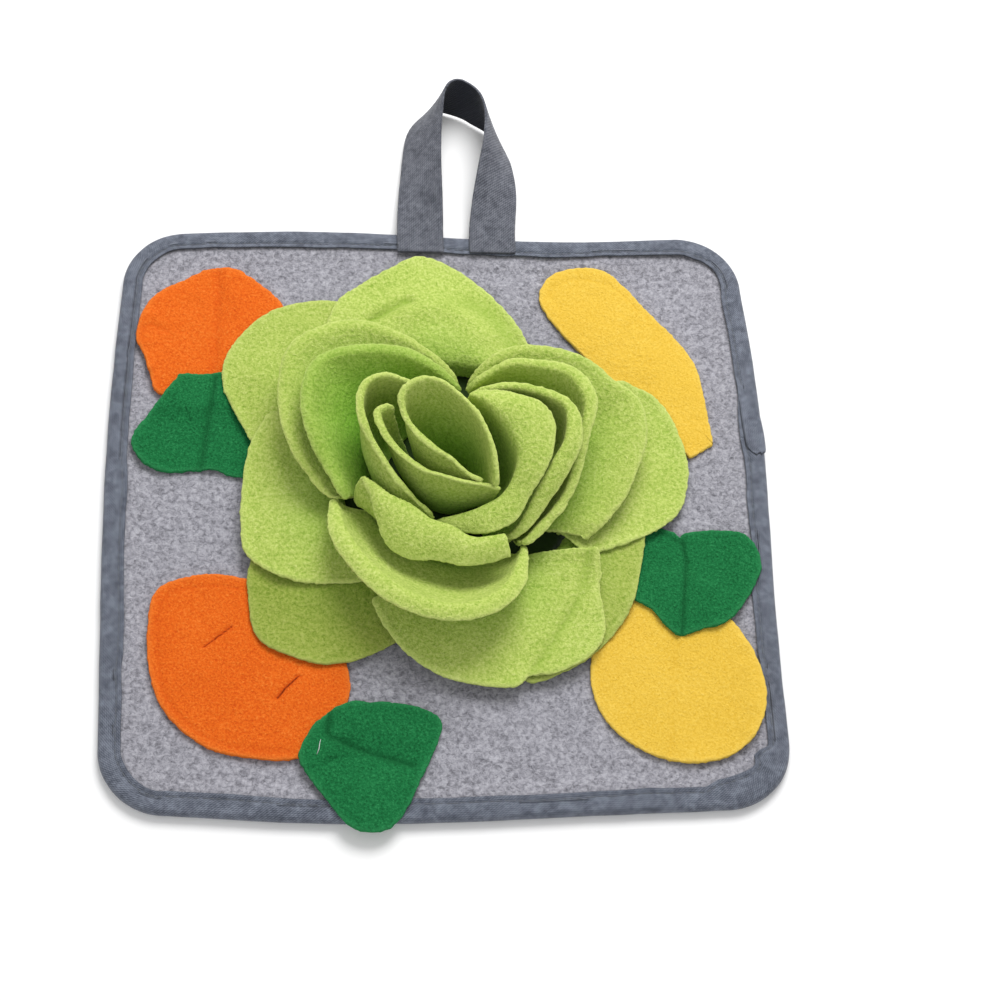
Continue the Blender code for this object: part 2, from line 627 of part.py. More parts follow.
# ---- fruit and leaves ------------------------------------------------------------------------
def patch_sheet(outline, segments, rings):
    """A flat sheet: rings of points from the middle out to a smooth outline."""
    outline = np.array(outline, dtype=float)
    closed = np.vstack([outline[-2:], outline, outline[:3]])
    spans = len(closed) - 1
    values = (2 + np.arange(segments) / segments * len(outline)) / spans
    edge = smooth_curve(closed, values)
    middle = edge.mean(axis=0)
    points = [[*middle, 0.0]]
    for ring in range(1, rings + 1):
        share = ring / rings
        for spot in edge:
            points.append([*(middle + (spot - middle) * share), 0.0])
    faces = [(0, 1 + step, 1 + (step + 1) % segments) for step in range(segments)]
    for ring in range(rings - 1):
        for step in range(segments):
            a = 1 + ring * segments + step
            b = 1 + ring * segments + (step + 1) % segments
            faces += [(a, a + segments, b + segments), (a, b + segments, b)]
    return np.array(points), faces


def make_patches(layers):
    half = PATCH_THICKNESS / 2
    for patch in PATCHES:
        points, faces = patch_sheet(patch.outline, segments=24, rings=2)
        link = neighbour_average(len(points), faces)
        points = lay(points, faces, half, layers, link, reach=PATCH_BRIDGE)
        layers.append(make_layer(patch.name, points, faces, half))
        item = add_object(patch.name, points, faces, patch.colour)
        add_thickness(item, PATCH_THICKNESS)


# ---- the flower ------------------------------------------------------------------------------
def from_axis(bearing, distance, height):
    turn = math.radians(bearing)
    return np.array([FLOWER_X + distance * math.cos(turn),
                     FLOWER_Y + distance * math.sin(turn), height])


def even_rows(profile, rows):
    """Points spaced evenly along a profile."""
    steps = np.linalg.norm(np.diff(profile, axis=0), axis=1)
    along = np.concatenate([[0.0], np.cumsum(steps)])
    places = np.linspace(0.0, along[-1], rows + 1)
    return np.column_stack([np.interp(places, along, profile[:, axis]) for axis in range(3)])


def petal_profile(root, crest, lip, outward, bow, hump, drop):
    """One line of a petal from its root, up the wall and softly over into its lip."""
    chord = crest - root
    away = unit(np.array([crest[0] - FLOWER_X, crest[1] - FLOWER_Y, 0.0]))
    level = np.array([-away[1], away[0], 0.0])
    lift = np.cross(chord / np.linalg.norm(chord), level)
    share = np.linspace(0.0, 1.0, 25)[:, None]
    wall = root + chord * share + lift * bow * np.sin(math.pi * share**hump)
    share = share[1:]
    turned = crest + outward * lip * share
    turned[:, 2:] += lip * (0.4 * share - (0.4 + drop) * share**2)
    line = even_rows(np.vstack([wall, turned]), PROFILE_STEPS)
    spacing = np.linalg.norm(line[1] - line[0])
    softness = min(0.25, (SOFT_TURN * lip / spacing) ** 2 / (2 * PROFILE_PASSES))
    for _ in range(PROFILE_PASSES):
        line[1:-1] += softness * (line[:-2] - 2 * line[1:-1] + line[2:])
    return line


def lip_directions(stations, across):
    """Level directions square to the crest, which its lip turns over to."""
    plan = stations[:, :2]
    runs = np.vstack([plan[1] - plan[0], plan[2:] - plan[:-2], plan[-1] - plan[-2]])
    square = unit(np.column_stack([runs[:, 1], -runs[:, 0]]))
    place = across * (len(plan) - 1)
    x = np.interp(place, np.arange(len(plan)), square[:, 0])
    y = np.interp(place, np.arange(len(plan)), square[:, 1])
    return unit(np.column_stack([x, y, np.zeros(len(across))]))


def petal_sheet(petal, rows, columns):
    """The petal's middle surface, (rows + 1, columns + 1, 3), from its root to its rim."""
    root_height = FELT_THICKNESS + GAP + 0.2
    across = np.linspace(0.0, 1.0, columns + 1)
    across = 0.6 * across + 0.4 * (0.5 + 0.5 * np.sin((across - 0.5) * math.pi))
    stations = np.array([[*from_axis(*station[:3]), station[3]] for station in petal.crest])
    first_root = from_axis(petal.root_from, petal.root_radius, root_height)
    last_root = from_axis(petal.root_to, petal.root_radius, root_height)
    size = 0.8 * np.linalg.norm(stations[1] - stations[0])
    leave = unit(stations[0][:3] - first_root)
    arrive = unit(last_root - stations[-1][:3])
    tangents = (np.append(leave * size, 0.0), np.append(arrive * size, 0.0))
    crest = smooth_curve(stations, across, tangents)
    outward = lip_directions(stations, across)
    sheet = np.zeros((rows + 1, columns + 1, 3))
    for column, share in enumerate(across):
        bearing = petal.root_from + (petal.root_to - petal.root_from) * share
        root = from_axis(bearing, petal.root_radius, root_height)
        bow = petal.bow_from + (petal.bow_to - petal.bow_from) * share
        profile = petal_profile(root, crest[column, :3], crest[column, 3], outward[column], bow,
                                petal.hump, petal.drop)
        sheet[:, column] = even_rows(profile, rows)
    return sheet


def seat_root(points, half):
    """Bring a standing petal's sewn edge down onto the felt."""
    sheet = points.reshape(-1, PETAL_COLUMNS + 1, 3).copy()
    rise = sheet[1] - sheet[0]
    lean = np.linalg.norm(rise[:, :2], axis=1) / np.linalg.norm(rise, axis=1)
    sheet[0, :, 2] = FELT_THICKNESS + GAP + half * lean + 0.1
    return sheet.reshape(-1, 3)


def rest_root(points, faces, half, layers):
    """Bring an outer petal's sewn edge down onto whatever it is sewn to."""
    sheet = points.reshape(-1, PETAL_COLUMNS + 1, 3).copy()
    for spot in sheet[0]:
        spot[2] = height_about(spot[0], spot[1], ROOT_BRIDGE, half, layers) + 0.1
    flat = sheet.reshape(-1, 3)
    for _ in range(8):
        flat[:, 2] += facet_shortfall(flat, faces, half, layers)
    return flat


def make_petals(layers):
    half = PETAL_THICKNESS / 2
    for petal in PETALS:
        sheet = petal_sheet(petal, PETAL_ROWS, PETAL_COLUMNS)
        faces = grid_faces(sheet)
        points = sheet.reshape(-1, 3)
        link = neighbour_average(len(points), faces)
        if petal.name in ALMOST_FLAT:
            points = lay(points, faces, half, layers, link, reach=PETAL_BRIDGE)
            points = rest_root(points, faces, half, layers)
        else:
            points = settle(points, faces, half, layers, link, FACET_ALLOWANCE, passes=16)
            points = seat_root(points, half)
        layers.append(make_layer(petal.name, points, faces, half))
        item = add_object(petal.name, points, faces, LIME)
        add_thickness(item, PETAL_THICKNESS)


def main():
    clear_scene()
    make_felt()
    make_binding()
    make_loop()
    layers = [felt_top_layer(), binding_top_layer()]
    make_patches(layers)
    make_petals(layers)


main()
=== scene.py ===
"""Snuffle mat: the looks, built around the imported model.

Every cloth piece is laid again, finer than its solid: rounded cut edges, nap, creases, stitching
and the unevenness of hand-cut fleece. Sizes are in millimetres and angles in degrees; only finished
meshes, materials, lights and the camera are in metres.
"""
import math
from collections import namedtuple

import bpy
import numpy as np
from mathutils import Matrix, Vector
from mathutils.bvhtree import BVHTree


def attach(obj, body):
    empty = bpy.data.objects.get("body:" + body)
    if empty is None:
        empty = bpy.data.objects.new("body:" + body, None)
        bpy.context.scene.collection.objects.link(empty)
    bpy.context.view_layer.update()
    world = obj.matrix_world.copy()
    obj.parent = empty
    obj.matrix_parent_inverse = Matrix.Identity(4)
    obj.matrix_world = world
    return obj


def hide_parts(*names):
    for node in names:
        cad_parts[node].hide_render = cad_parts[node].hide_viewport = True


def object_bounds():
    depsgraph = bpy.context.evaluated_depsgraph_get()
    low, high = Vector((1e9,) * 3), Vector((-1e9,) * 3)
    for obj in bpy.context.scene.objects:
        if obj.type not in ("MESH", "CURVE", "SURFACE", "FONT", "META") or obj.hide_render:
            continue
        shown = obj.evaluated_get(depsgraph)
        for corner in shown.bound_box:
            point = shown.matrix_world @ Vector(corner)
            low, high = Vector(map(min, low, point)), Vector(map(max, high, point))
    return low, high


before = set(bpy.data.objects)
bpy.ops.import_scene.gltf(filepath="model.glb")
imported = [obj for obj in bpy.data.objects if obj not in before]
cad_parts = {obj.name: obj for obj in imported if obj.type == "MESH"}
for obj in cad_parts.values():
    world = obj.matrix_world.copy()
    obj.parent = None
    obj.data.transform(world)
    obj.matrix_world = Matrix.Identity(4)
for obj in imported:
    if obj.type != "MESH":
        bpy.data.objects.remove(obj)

CAD_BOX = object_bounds()
MM = 0.001
UP = np.array([0.0, 0.0, 1.0])
PLAN = np.array([1.0, 1.0, 0.0])
DOWN = Vector(-UP)
OVERHEAD = 300.0             # a height above everything, where probing from above starts

# ---- sizes the solids have -------------------------------------------------------------------
MAT_HALF = 148.5
CORNER_RADIUS = 30.0
FELT_THICKNESS = 3.0
TAPE_THICKNESS = 1.0
BINDING_TOP_WIDTH = 10.0
BINDING_UNDER_WIDTH = 9.0
LAP_Y = 34.0
LAP_LENGTH = 9.0
PETAL_THICKNESS = 2.0
PATCH_THICKNESS = 1.8
WEBBING_WIDTH = 21.5
WEBBING_THICKNESS = 1.3
GAP = 0.3
FELT_INSET = TAPE_THICKNESS + GAP
BINDING_TOP = 2 * TAPE_THICKNESS + 2 * GAP + FELT_THICKNESS
FELT_DISH_START = BINDING_TOP_WIDTH + 0.5
FELT_FLAT_INSET = 20.0
FLOWER = np.array([4.0, 12.0])

# ---- how sheets are laid, as for the solids ----------------------------------------------------
PATCH_BRIDGE = 7.0           # how far a sheet spans softly past the edge of what it covers
PETAL_BRIDGE = 4.0
ROOT_BRIDGE = 3.0
SOFTENING_PASSES = 3
LAYING_PASSES = 4            # of lifting a laid sheet's facets clear
SEATING_PASSES = 8           # and those beside a sewn edge
SEAT_CLEARANCE = 0.1
SURFACE_SEARCH = 9.0         # how far off the nearest face is looked for
PAST_EDGE = 0.8              # a spot this far past a sheet's edge isn't beside its face
EASING = 0.3                 # the share of each push that the cloth around it takes up
SETTLING_PASSES = 16
UNEASED_PASSES = 4           # the last ones, whose pushes aren't spread
FACET_ALLOWANCE = 0.6        # extra room while settling, for flat facets
STEEPEST = 0.6               # a slope's upright share counts as no less than this
PATCH_GRID = (7, 48)         # rings and segments
PETAL_GRID = (6, 11)         # rows and columns
LAYER_EDGE = (12, 8)         # steps along a side of the mat and round a corner
WALL_POINTS = 25             # along a petal's wall, and along its lip
PROFILE_STEPS = 48           # along both while the turn between them is softened
PROFILE_PASSES = 16
SOFT_TURN = 0.14             # how softly it turns over, as a share of its lip

# ---- finished cloth ----------------------------------------------------------------------------
PETAL_CLOTH = 1.4            # drawn thickness of the petals
PETAL_CELL = 1.08            # about the distance between points
PATCH_CELL = 1.12
FELT_EDGE = (60, 26)
FELT_RINGS = 60
TAPE_EDGE = (200, 40)
TAPE_FLAT = (0.025, 1.19)    # as cut, in metres
TAPE_AREA = 0.0274
FRAY_REACH = 0.7             # how far in from a cut edge it is ragged, and how far pale
# the paleness of a cut edge is fibre fuzz and a painted highlight
PALE_REACH = 0.9
FREE_REACH = 14.0            # and how far a petal's rim waves more than the rest of it
RIM_STEPS = 3                # points round a cut edge, between its upper and under side
RIM_BULGE = 0.7              # how far it stands out, as a share of half the thickness
HIDDEN_RADIUS = 56.0         # painted shade darkens the felt inside this ring, beneath the petals
SEAM_INSET = 2.3             # the tape's stitches, out from its inner rim
LAP_STATIONS = 32            # how many stations of the edge the lap covers, and how many it adds
LAP_STEPS = 12
LAP_COLUMNS = 12
STITCH_SIDES = 6
STITCH_CUTS = 5
LOOP_GRID = (220, 22)
THREAD_RADIUS = 0.2
WAVE_BAND = 0.314            # a wave texture of scale 1 has its bands this far apart, in metres
THREAD_END = [(-54.0, -115.6), (-54.8, -118.4), (-55.0, -121.0), (-56.4, -124.4)]

# Bottom right corner: angle round it, how much wider the tape is there.
CORNER_PUCKER = [
    (-106, 0), (-96, 3.2), (-78, 4.6), (-66, 4.4), (-49, 3.2), (-38, 3.2), (-24, 5.2), (-13, 3.6),
    (-5, 0.2), (10, 0)]

# How far each side bulges and how far it waves, from the right one anticlockwise.
SIDES = [(2.4, -1.3), (-0.3, -2.2), (3.3, 0.4), (4.2, 1.0)]

# Hang loop, one row a station: x, y, z of its outer selvedge, then of its inner one.
LOOP = np.array([
    (-17.4, 137.5, 6.6, 4.1, 137.5, 6.6), (-17.4, 150, 6.9, 4.1, 150, 6.9),
    (-16.6, 167, 5.6, 4, 167, 11), (-15.4, 181, 4.5, 3.8, 179, 14), (-14.2, 194, 3.5, 3.8, 191, 15),
    (-12.5, 207, 3, 4.2, 204, 16.3), (-9.8, 215, 2.6, 4.8, 212, 18.2),
    (-4.2, 222.5, 2.2, 5.4, 219, 21), (0.5, 226.6, 2, 6.4, 224.2, 22.5),
    (6, 227.2, 2, 9.4, 229, 23.1), (15.2, 223.8, 2, 14.6, 231, 22.2),
    (21.1, 219.8, 2, 19.6, 228.4, 21.6), (26.6, 216, 2, 23.4, 224, 21.7),
    (31.5, 212, 2.2, 25.6, 217.6, 21.9), (34.6, 206.5, 2.5, 26.4, 211, 21.8),
    (37.5, 198.5, 3, 26.1, 203, 20.6), (39.4, 191, 3.8, 25, 194, 19.5),
    (40.8, 177, 4.8, 21.9, 179.5, 14.7), (40.3, 163, 6, 19, 163, 9),
    (39.2, 150, 6.9, 17.6, 150, 6.9), (39, 137.5, 6.6, 17.5, 137.5, 6.6)])

# A patch lies over the pieces named beside its outline.
Patch = namedtuple("Patch", "name slot over outline")
PATCHES = [
    Patch("radish_top_left", "fleece_orange", [], [
        (-128, 57), (-108, 56), (-85, 66), (-70, 88), (-73, 106), (-79, 114), (-87, 121),
        (-97, 127), (-109, 126), (-121, 119), (-131, 112), (-138, 100), (-140, 87), (-136, 77),
        (-133, 67)]),
    Patch("banana_top_right", "fleece_yellow", [], [
        (110, 32), (115, 26), (117, 25), (126, 31), (127, 33), (126, 44), (125, 57), (122, 75),
        (114, 89), (103, 103), (91, 119), (82, 127), (70, 129), (57, 125), (51, 116), (52, 106),
        (62, 90), (76, 73), (92, 56), (104, 43)]),
    Patch("carrot_bottom_left", "fleece_orange", [], [
        (-89, -39), (-66, -43), (-50, -61), (-43, -83), (-43, -97), (-52, -117), (-66, -124),
        (-85, -123), (-103, -118), (-119, -104), (-127, -86), (-129, -64), (-126, -45), (-112, -38),
        (-100, -37)]),
    Patch("pear_bottom_right", "fleece_yellow", [], [
        (82, -53), (92, -45), (108, -45), (121, -52), (131, -66), (138, -83), (139, -100),
        (132, -116), (119, -125), (104, -127), (88, -123), (74, -113), (66, -100), (64, -83),
        (69, -65)]),
    Patch("leaf_left", "fleece_green", ["radish_top_left_cloth"], [
        (-86, 15), (-80, 31), (-86, 51), (-97, 66), (-110, 66), (-119, 66), (-122, 62), (-133, 45),
        (-139, 34), (-139, 27), (-134, 20), (-124, 16), (-110, 17), (-102, 17), (-95, 14)]),
    Patch("leaf_bottom", "fleece_green", ["carrot_bottom_left_cloth", "mat_binding"], [
        (-44, -153), (-33, -158), (-23, -154), (-16, -143), (-12, -133), (-6, -120), (-3, -109),
        (-8, -103), (-18, -100), (-30, -99), (-43, -100), (-54, -107), (-60, -115), (-63, -124),
        (-58, -134)]),
    Patch("leaf_right", "fleece_green", ["pear_bottom_right_cloth"], [
        (82, -46), (82, -29), (91, -15), (98, -13), (105, -16), (108, -18), (111, -16), (122, -15),
        (133, -16), (140, -21), (143, -29), (142, -37), (135, -50), (125, -61), (115, -64),
        (104, -67), (98, -62), (92, -54)])]

# Painted shade, where neighbours would shade the nap: how far up a petal it reaches, as a share of
# its length, how strong it is at the root, and how strong it is over the whole petal.
Shade = namedtuple("Shade", "reach root overall")
USUAL = Shade(0.9, 0.65, 0)

# A petal is sewn at its root, an arc round the flower's axis, and rises as a wall to its crest,
# where a lip turns outwards. Each crest station is (bearing, distance, height, width of the lip).
# root and bow are given at both ends.
Petal = namedtuple("Petal", "name radius root bow hump drop shade crest")
PETALS = [
    Petal("petal_outer_back_left", 46, (122, 166), (8, 8), 0.6, 0.1, Shade(0.9, 0.3, 0.16), [
        (112, 94, 7, 2), (119, 105, 6, 3), (128, 115, 6, 3), (137, 119, 6, 3), (146, 118, 6, 3),
        (154, 112, 6, 3), (161, 99, 6, 3), (169, 86, 7, 2)]),
    Petal("petal_outer_front_left", 46, (210, 250), (6, 6), 0.6, 0.1, Shade(0.9, 0.4, 0.7), [
        (202, 88, 8, 2), (207, 98, 6, 2), (214, 106, 5, 2), (223, 115, 5, 2), (231, 112, 5, 2),
        (239, 106, 5, 2), (247, 94, 6, 2), (253, 80, 7, 2)]),
    Petal("petal_outer_front_right", 60, (292, 336), (4, 4), 0.6, 0.1, Shade(0.9, 0.4, 0.42), [
        (287, 102, 6, 2), (300, 106, 6, 2), (314, 103, 6, 2), (326, 97, 6, 2), (343, 86, 6, 2)]),
    Petal("petal_outer_back", 57, (66, 116), (11, 8), 0.45, 0.1, Shade(0.6, 0.3, 0), [
        (58, 72, 12, 3), (63, 78, 10, 3), (70, 87, 9, 3), (80, 100, 8, 3), (89, 112, 8, 3),
        (96, 118, 8, 3), (104, 112, 8, 3), (112, 107, 8, 3), (118, 103, 8, 3), (124, 93, 9, 3)]),
    Petal("petal_outer_left", 50, (166, 226), (7, 7), 0.6, 0.1, Shade(0.9, 0.3, 0.04), [
        (160, 82, 9, 3), (167, 87, 8, 3), (176, 89, 8, 3), (186, 91, 8, 3), (195, 94, 8, 3),
        (203, 97, 8, 3), (210, 93, 8, 3), (218, 85, 8, 3), (226, 74, 9, 3), (233, 65, 10, 2)]),
    Petal("petal_outer_right", 56, (330, 384), (5, 5), 0.6, 0.1, Shade(0.6, 0.3, 0), [
        (326, 70, 9, 2), (331, 77, 8, 2), (337, 85, 7, 2), (344, 94, 7, 3), (350, 102, 7, 3),
        (356, 105, 7, 3), (364, 107, 7, 3), (372, 106, 7, 3), (380, 105, 7, 3), (386, 100, 8, 3),
        (391, 92, 9, 3)]),
    Petal("petal_outer_front", 53, (250, 304), (7, 5), 0.6, 0.1, Shade(0.8, 0.3, 0), [
        (243, 73, 15, 2), (248, 79, 14, 3), (256, 88, 12, 3), (264, 95, 10, 3), (272, 100, 8, 3),
        (283, 105, 8, 3), (288, 102, 8, 3), (294, 105, 8, 3), (303, 105, 8, 3), (309, 100, 9, 3),
        (315, 87, 12, 3), (321, 80, 15, 3), (325, 74, 18, 2)]),
    Petal("petal_middle_right", 40, (320, 428), (1, 4), 1, 0.1, Shade(1, 0.5, 0.1), [
        (331, 67, 10, 2), (336, 70, 14, 3), (341, 73, 17, 3), (348, 77, 20, 3), (357, 81, 22, 3),
        (368, 86, 24, 4), (379, 88, 25, 4), (388, 82, 26, 4), (398, 79, 26, 4), (409, 71, 27, 4),
        (420, 62, 27, 4), (429, 52, 25, 3), (436, 42, 17, 2)]),
    Petal("petal_middle_front", 42, (212, 300), (-5, -4), 1, 0.1, Shade(0.3, 0.4, 0), [
        (203, 58, 20, 2), (209, 60, 23, 4), (217, 63, 26, 6), (227, 66, 28, 7), (238, 70, 30, 7),
        (250, 75, 32, 7), (262, 78, 33, 7), (273, 78, 33, 7), (282, 74, 31, 7), (291, 67, 28, 6),
        (299, 58, 23, 4), (305, 52, 19, 2)]),
    Petal("petal_middle_left", 38, (88, 196), (3, 3), 1, 0.1, Shade(1.1, 0.7, 0.1), [
        (86, 41, 17, 2), (97, 50, 25, 3), (111, 64, 28, 4), (126, 79, 31, 5), (143, 86, 32, 5),
        (158, 80, 30, 4), (172, 73, 27, 3), (186, 64, 22, 3), (199, 56, 15, 2)]),
    Petal("petal_middle_left_inner", 34, (88, 195), (1, 1), 1, 0.1, Shade(1.5, 1, 0.2), [
        (84, 34, 25, 2), (99, 40, 33, 3), (115, 50, 38, 4), (131, 60, 41, 4), (146, 70, 42, 4),
        (160, 68, 40, 4), (174, 62, 36, 4), (187, 57, 29, 3), (200, 53, 20, 2)]),
    Petal("petal_inner_front", 36, (216, 292), (-12, -3), 1.5, 0.3, Shade(0.6, 0.5, 0), [
        (203, 46, 33, 1), (210, 41, 33, 6), (220, 38, 33, 13), (235, 34, 33, 21), (253, 36, 32, 20),
        (267, 38, 33, 17), (279, 44, 32, 13), (289, 46, 32, 11), (297, 47, 31, 10)]),
    Petal("petal_inner_right_low", 33, (318, 430), (-6, -6), 1, 0.1, USUAL, [
        (307, 53, 18, 2), (322, 54, 25, 3), (337, 55, 30, 3), (352, 55, 35, 4), (366, 58, 40, 4),
        (378, 63, 43, 5), (391, 62, 43, 5), (404, 54, 42, 4), (418, 46, 39, 3), (435, 34, 28, 2)]),
    Petal("petal_inner_right_middle", 29, (298, 428), (-8, -8), 1, 0.2, Shade(0.7, 0.6, 0), [
        (299, 47, 17, 2), (307, 49, 22, 3), (318, 46, 28, 6), (332, 44, 34, 8), (345, 46, 39, 8),
        (357, 50, 43, 7), (367, 52, 45, 6), (377, 52, 45, 4), (388, 45, 45, 3), (400, 37, 45, 3),
        (413, 30, 43, 3), (426, 26, 39, 2)]),
    Petal("petal_inner_right_high", 21, (262, 426), (-3, -3), 1, 0.05, USUAL, [
        (258, 30, 19, 1), (278, 29, 25, 9), (293, 30, 30, 13), (308, 32, 34, 13), (321, 32, 38, 10),
        (333, 31, 42, 12), (345, 29, 45, 16), (358, 25, 47, 21), (372, 22, 49, 19),
        (388, 20, 50, 14), (405, 20, 49, 9), (420, 20, 48, 4), (429, 20, 45, 2)]),
    Petal("petal_heart_outer", 30, (124, 254), (-6, -4), 1, 0.1, USUAL, [
        (122, 28, 43, 1), (134, 39, 48, 1), (146, 44, 50, 2), (158, 43, 50, 3), (172, 39, 48, 3),
        (185, 35, 44, 2), (199, 32, 40, 1.5), (214, 30, 35, 1.5), (232, 28, 28, 1.5),
        (252, 29, 20, 1.5)]),
    Petal("petal_heart_middle", 17, (158, 310), (-2, -3), 1, 0.1, USUAL, [
        (150, 31, 42, 1), (159, 35, 43, 2), (171, 31, 43, 2.5), (186, 26, 42, 2.5),
        (204, 22, 41, 2), (226, 19, 39, 1.5), (250, 17, 38, 1), (276, 18, 37, 1), (298, 22, 36, 1),
        (314, 29, 34, 1)]),
    Petal("petal_heart_inner", 11, (-32, 288), (-2, -2), 1, 0.1, USUAL, [
        (-48, 30, 37, 1), (-36, 24, 43, 1), (-13, 17, 47, 1), (30, 13, 50, 1), (75, 15, 52, 1),
        (104, 22, 54, 1), (124, 26, 55, 1.5), (142, 27, 53, 2), (158, 23, 50, 2), (180, 16, 47, 2),
        (215, 11, 44, 1.5), (262, 11, 41, 1), (288, 18, 38, 1), (298, 24, 35, 1)])]

# Soft folds and lines in the cloth, placed on the mat's plan: how wide, how far the cloth dips (or
# rises, if negative) along the line, and how much painted shade darkens the line.
Crease = namedtuple("Crease", "width depth dark line")
CREASES = {
    "radish_top_left": [
        Crease(2.2, 0.7, 0.7, [(-104, 130), (-103, 113), (-103.5, 96), (-104, 79), (-105, 64)]),
        Crease(1.8, 0.5, 0.5, [(-140, 91), (-134, 93.5), (-127, 91)]),
        Crease(5, -0.6, 0, [(-96, 122), (-93, 96), (-94, 72)])],
    "leaf_left": [
        Crease(1.5, 1, 1.7, [(-103, 65), (-106, 44), (-109, 18)]),
        Crease(5, -0.6, 0, [(-98, 60), (-101, 40), (-104, 20)])],
    "leaf_right": [
        Crease(1.3, 1, 1.9, [(109, -19), (110, -30), (108, -44), (105, -67)]),
        Crease(4, -0.5, 0, [(96, -22), (94, -42), (98, -58)]),
        Crease(1.4, 0.5, 1.2, [(99, -15), (104, -18), (108, -21)])],
    "leaf_bottom": [
        Crease(1.6, 1.4, 2.2, [(-50, -98), (-51, -106), (-51.5, -113)]),
        Crease(1.8, 1.1, 1.8, [(-51, -115), (-36, -121), (-15, -128)]),
        Crease(5, -1.1, 0, [(-43, -106), (-30, -112), (-14, -116)])],
    "pear_bottom_right": [
        Crease(1.6, 0.4, 0.4, [(106, -48), (103, -67), (99.5, -91), (95.5, -124)])],
    "banana_top_right": [
        Crease(1.5, 0.3, 0.3, [(86, 78), (92, 96), (104, 104)]),
        Crease(0.9, 0.3, 0.7, [(54, 113), (58, 119), (65, 123), (75, 123), (84, 120), (90, 115),
            (97, 106)])],
    "petal_outer_back": [
        Crease(2.7, 2.6, 1.8, [(-13, 105), (-18, 103), (-24, 99), (-31, 94)]),
        Crease(7, -2.2, 0, [(-12, 99), (1, 101), (13, 96), (22, 86)]),
        Crease(5.5, 1.3, 1.3, [(16, 104), (23, 100), (30, 92), (35, 81)])],
    "petal_outer_front": [
        Crease(2.4, 1.2, 1.2, [(67, -21), (60, -52), (47, -73), (38, -86)])],
    "petal_outer_back_left": [
        Crease(7, -0.8, 0, [(-88, 66), (-74, 60), (-58, 50)])],
    "petal_outer_left": [
        Crease(6, -0.7, 0, [(-82, 22), (-72, 14), (-60, 8)])],
    "carrot_bottom_left": [
        Crease(0.8, 0.7, 3.4, [(-105, -72), (-99, -67), (-93, -62)]),
        Crease(0.9, 0.8, 3.8, [(-73, -96), (-69, -91), (-64, -86)]),
        Crease(0.9, 0.3, 0.9, [(-89, -44), (-100, -42), (-112, -43), (-120, -45), (-124, -50),
            (-125, -57), (-125, -70), (-124, -81), (-122, -92), (-117, -101), (-110, -109),
            (-101, -115), (-93, -118), (-84, -120), (-73, -121), (-65, -121)])]}


# ---- small tools -----------------------------------------------------------------------------
def smooth_step(value):
    value = np.clip(value, 0.0, 1.0)
    return value * value * (3.0 - 2.0 * value)


def unit(vectors):
    length = np.linalg.norm(vectors, axis=-1, keepdims=True)
    return vectors / np.maximum(length, 1e-9)


def near(value, centre, spread):
    return math.exp(-((value - centre) / spread) ** 2)


def travelled(points, axis=0):
    """Distance run along each line of points, from 0 at its start."""
    steps = np.linalg.norm(np.diff(points, axis=axis), axis=-1)
    return np.insert(np.cumsum(steps, axis=axis), 0, 0.0, axis=axis)


def along_line(points, places):
    """Points of a polyline at these distances along it."""
    along = travelled(points)
    return np.column_stack([np.interp(places, along, points[:, axis]) for axis in range(3)])


def smooth_curve(points, values, end_tangents=None):
    """Points on a smooth curve through points, spaced evenly in parameter 0 to 1."""
    points = np.asarray(points, dtype=float)
    tangents = np.gradient(points, axis=0)
    if end_tangents is not None:
        tangents[0], tangents[-1] = end_tangents
    place = np.clip(values, 0.0, 1.0) * (len(points) - 1)
    span = np.minimum(place.astype(int), len(points) - 2)
    t = (place - span)[:, None]
    return (points[span] * (2 * t**3 - 3 * t**2 + 1) + tangents[span] * (t**3 - 2 * t**2 + t)
            + points[span + 1] * (3 * t**2 - 2 * t**3) + tangents[span + 1] * (t**3 - t**2))


def soft_noise(points, size, seed):
    """Smooth noise from -1 to 1, with bumps about size apart."""
    place = np.asarray(points, dtype=float) / size + 1000.0
    cell = np.floor(place).astype(np.int64)
    t = smooth_step(place - cell)
    total = np.zeros(len(place))
    for corner in range(8):
        offset = np.array([(corner >> axis) & 1 for axis in range(3)])
        x, y, z = (cell + offset).T
        mixed = (x * 73856093 ^ y * 19349663 ^ z * 83492791 ^ seed * 40503071) & 0xFFFFFFFF
        mixed = ((mixed ^ (mixed >> 13)) * 1274126177) & 0xFFFFFFFF
        mixed = ((mixed ^ (mixed >> 16)) * 2246822519) & 0xFFFFFFFF
        value = (mixed ^ (mixed >> 15)) / 2.0**31 - 1.0
        total += value * np.prod(np.where(offset == 1, t, 1.0 - t), axis=1)
    return total


def distance_to_line(points, line):
    """Distance in plan from each point to a line of short straight runs."""
    nearest = np.full(len(points), math.inf)
    line = np.array(line, dtype=float)
    for first, run in zip(line, np.diff(line, axis=0)):
        share = np.clip((points[:, :2] - first) @ run / (run @ run), 0.0, 1.0)
        spot = first + share[:, None] * run
        nearest = np.minimum(nearest, np.linalg.norm(points[:, :2] - spot, axis=1))
    return nearest


# ---- sheets that lie on one another ----------------------------------------------------------
Layer = namedtuple("Layer", "points spots tree half low high")


def surface(points, faces):
    return BVHTree.FromPolygons([Vector(point) for point in points], faces)


def edge_middles(corners):
    return (corners + np.roll(corners, -1, axis=0)) / 2


def make_layer(points, faces, half):
    """A placed sheet, as its middle surface and half its thickness."""
    flat = np.asarray(points, dtype=float).reshape(-1, 3)
    spots = np.vstack([flat] + [edge_middles(flat[list(face)]) for face in faces])
    return Layer(flat, spots, surface(flat, faces), half, flat.min(axis=0), flat.max(axis=0))


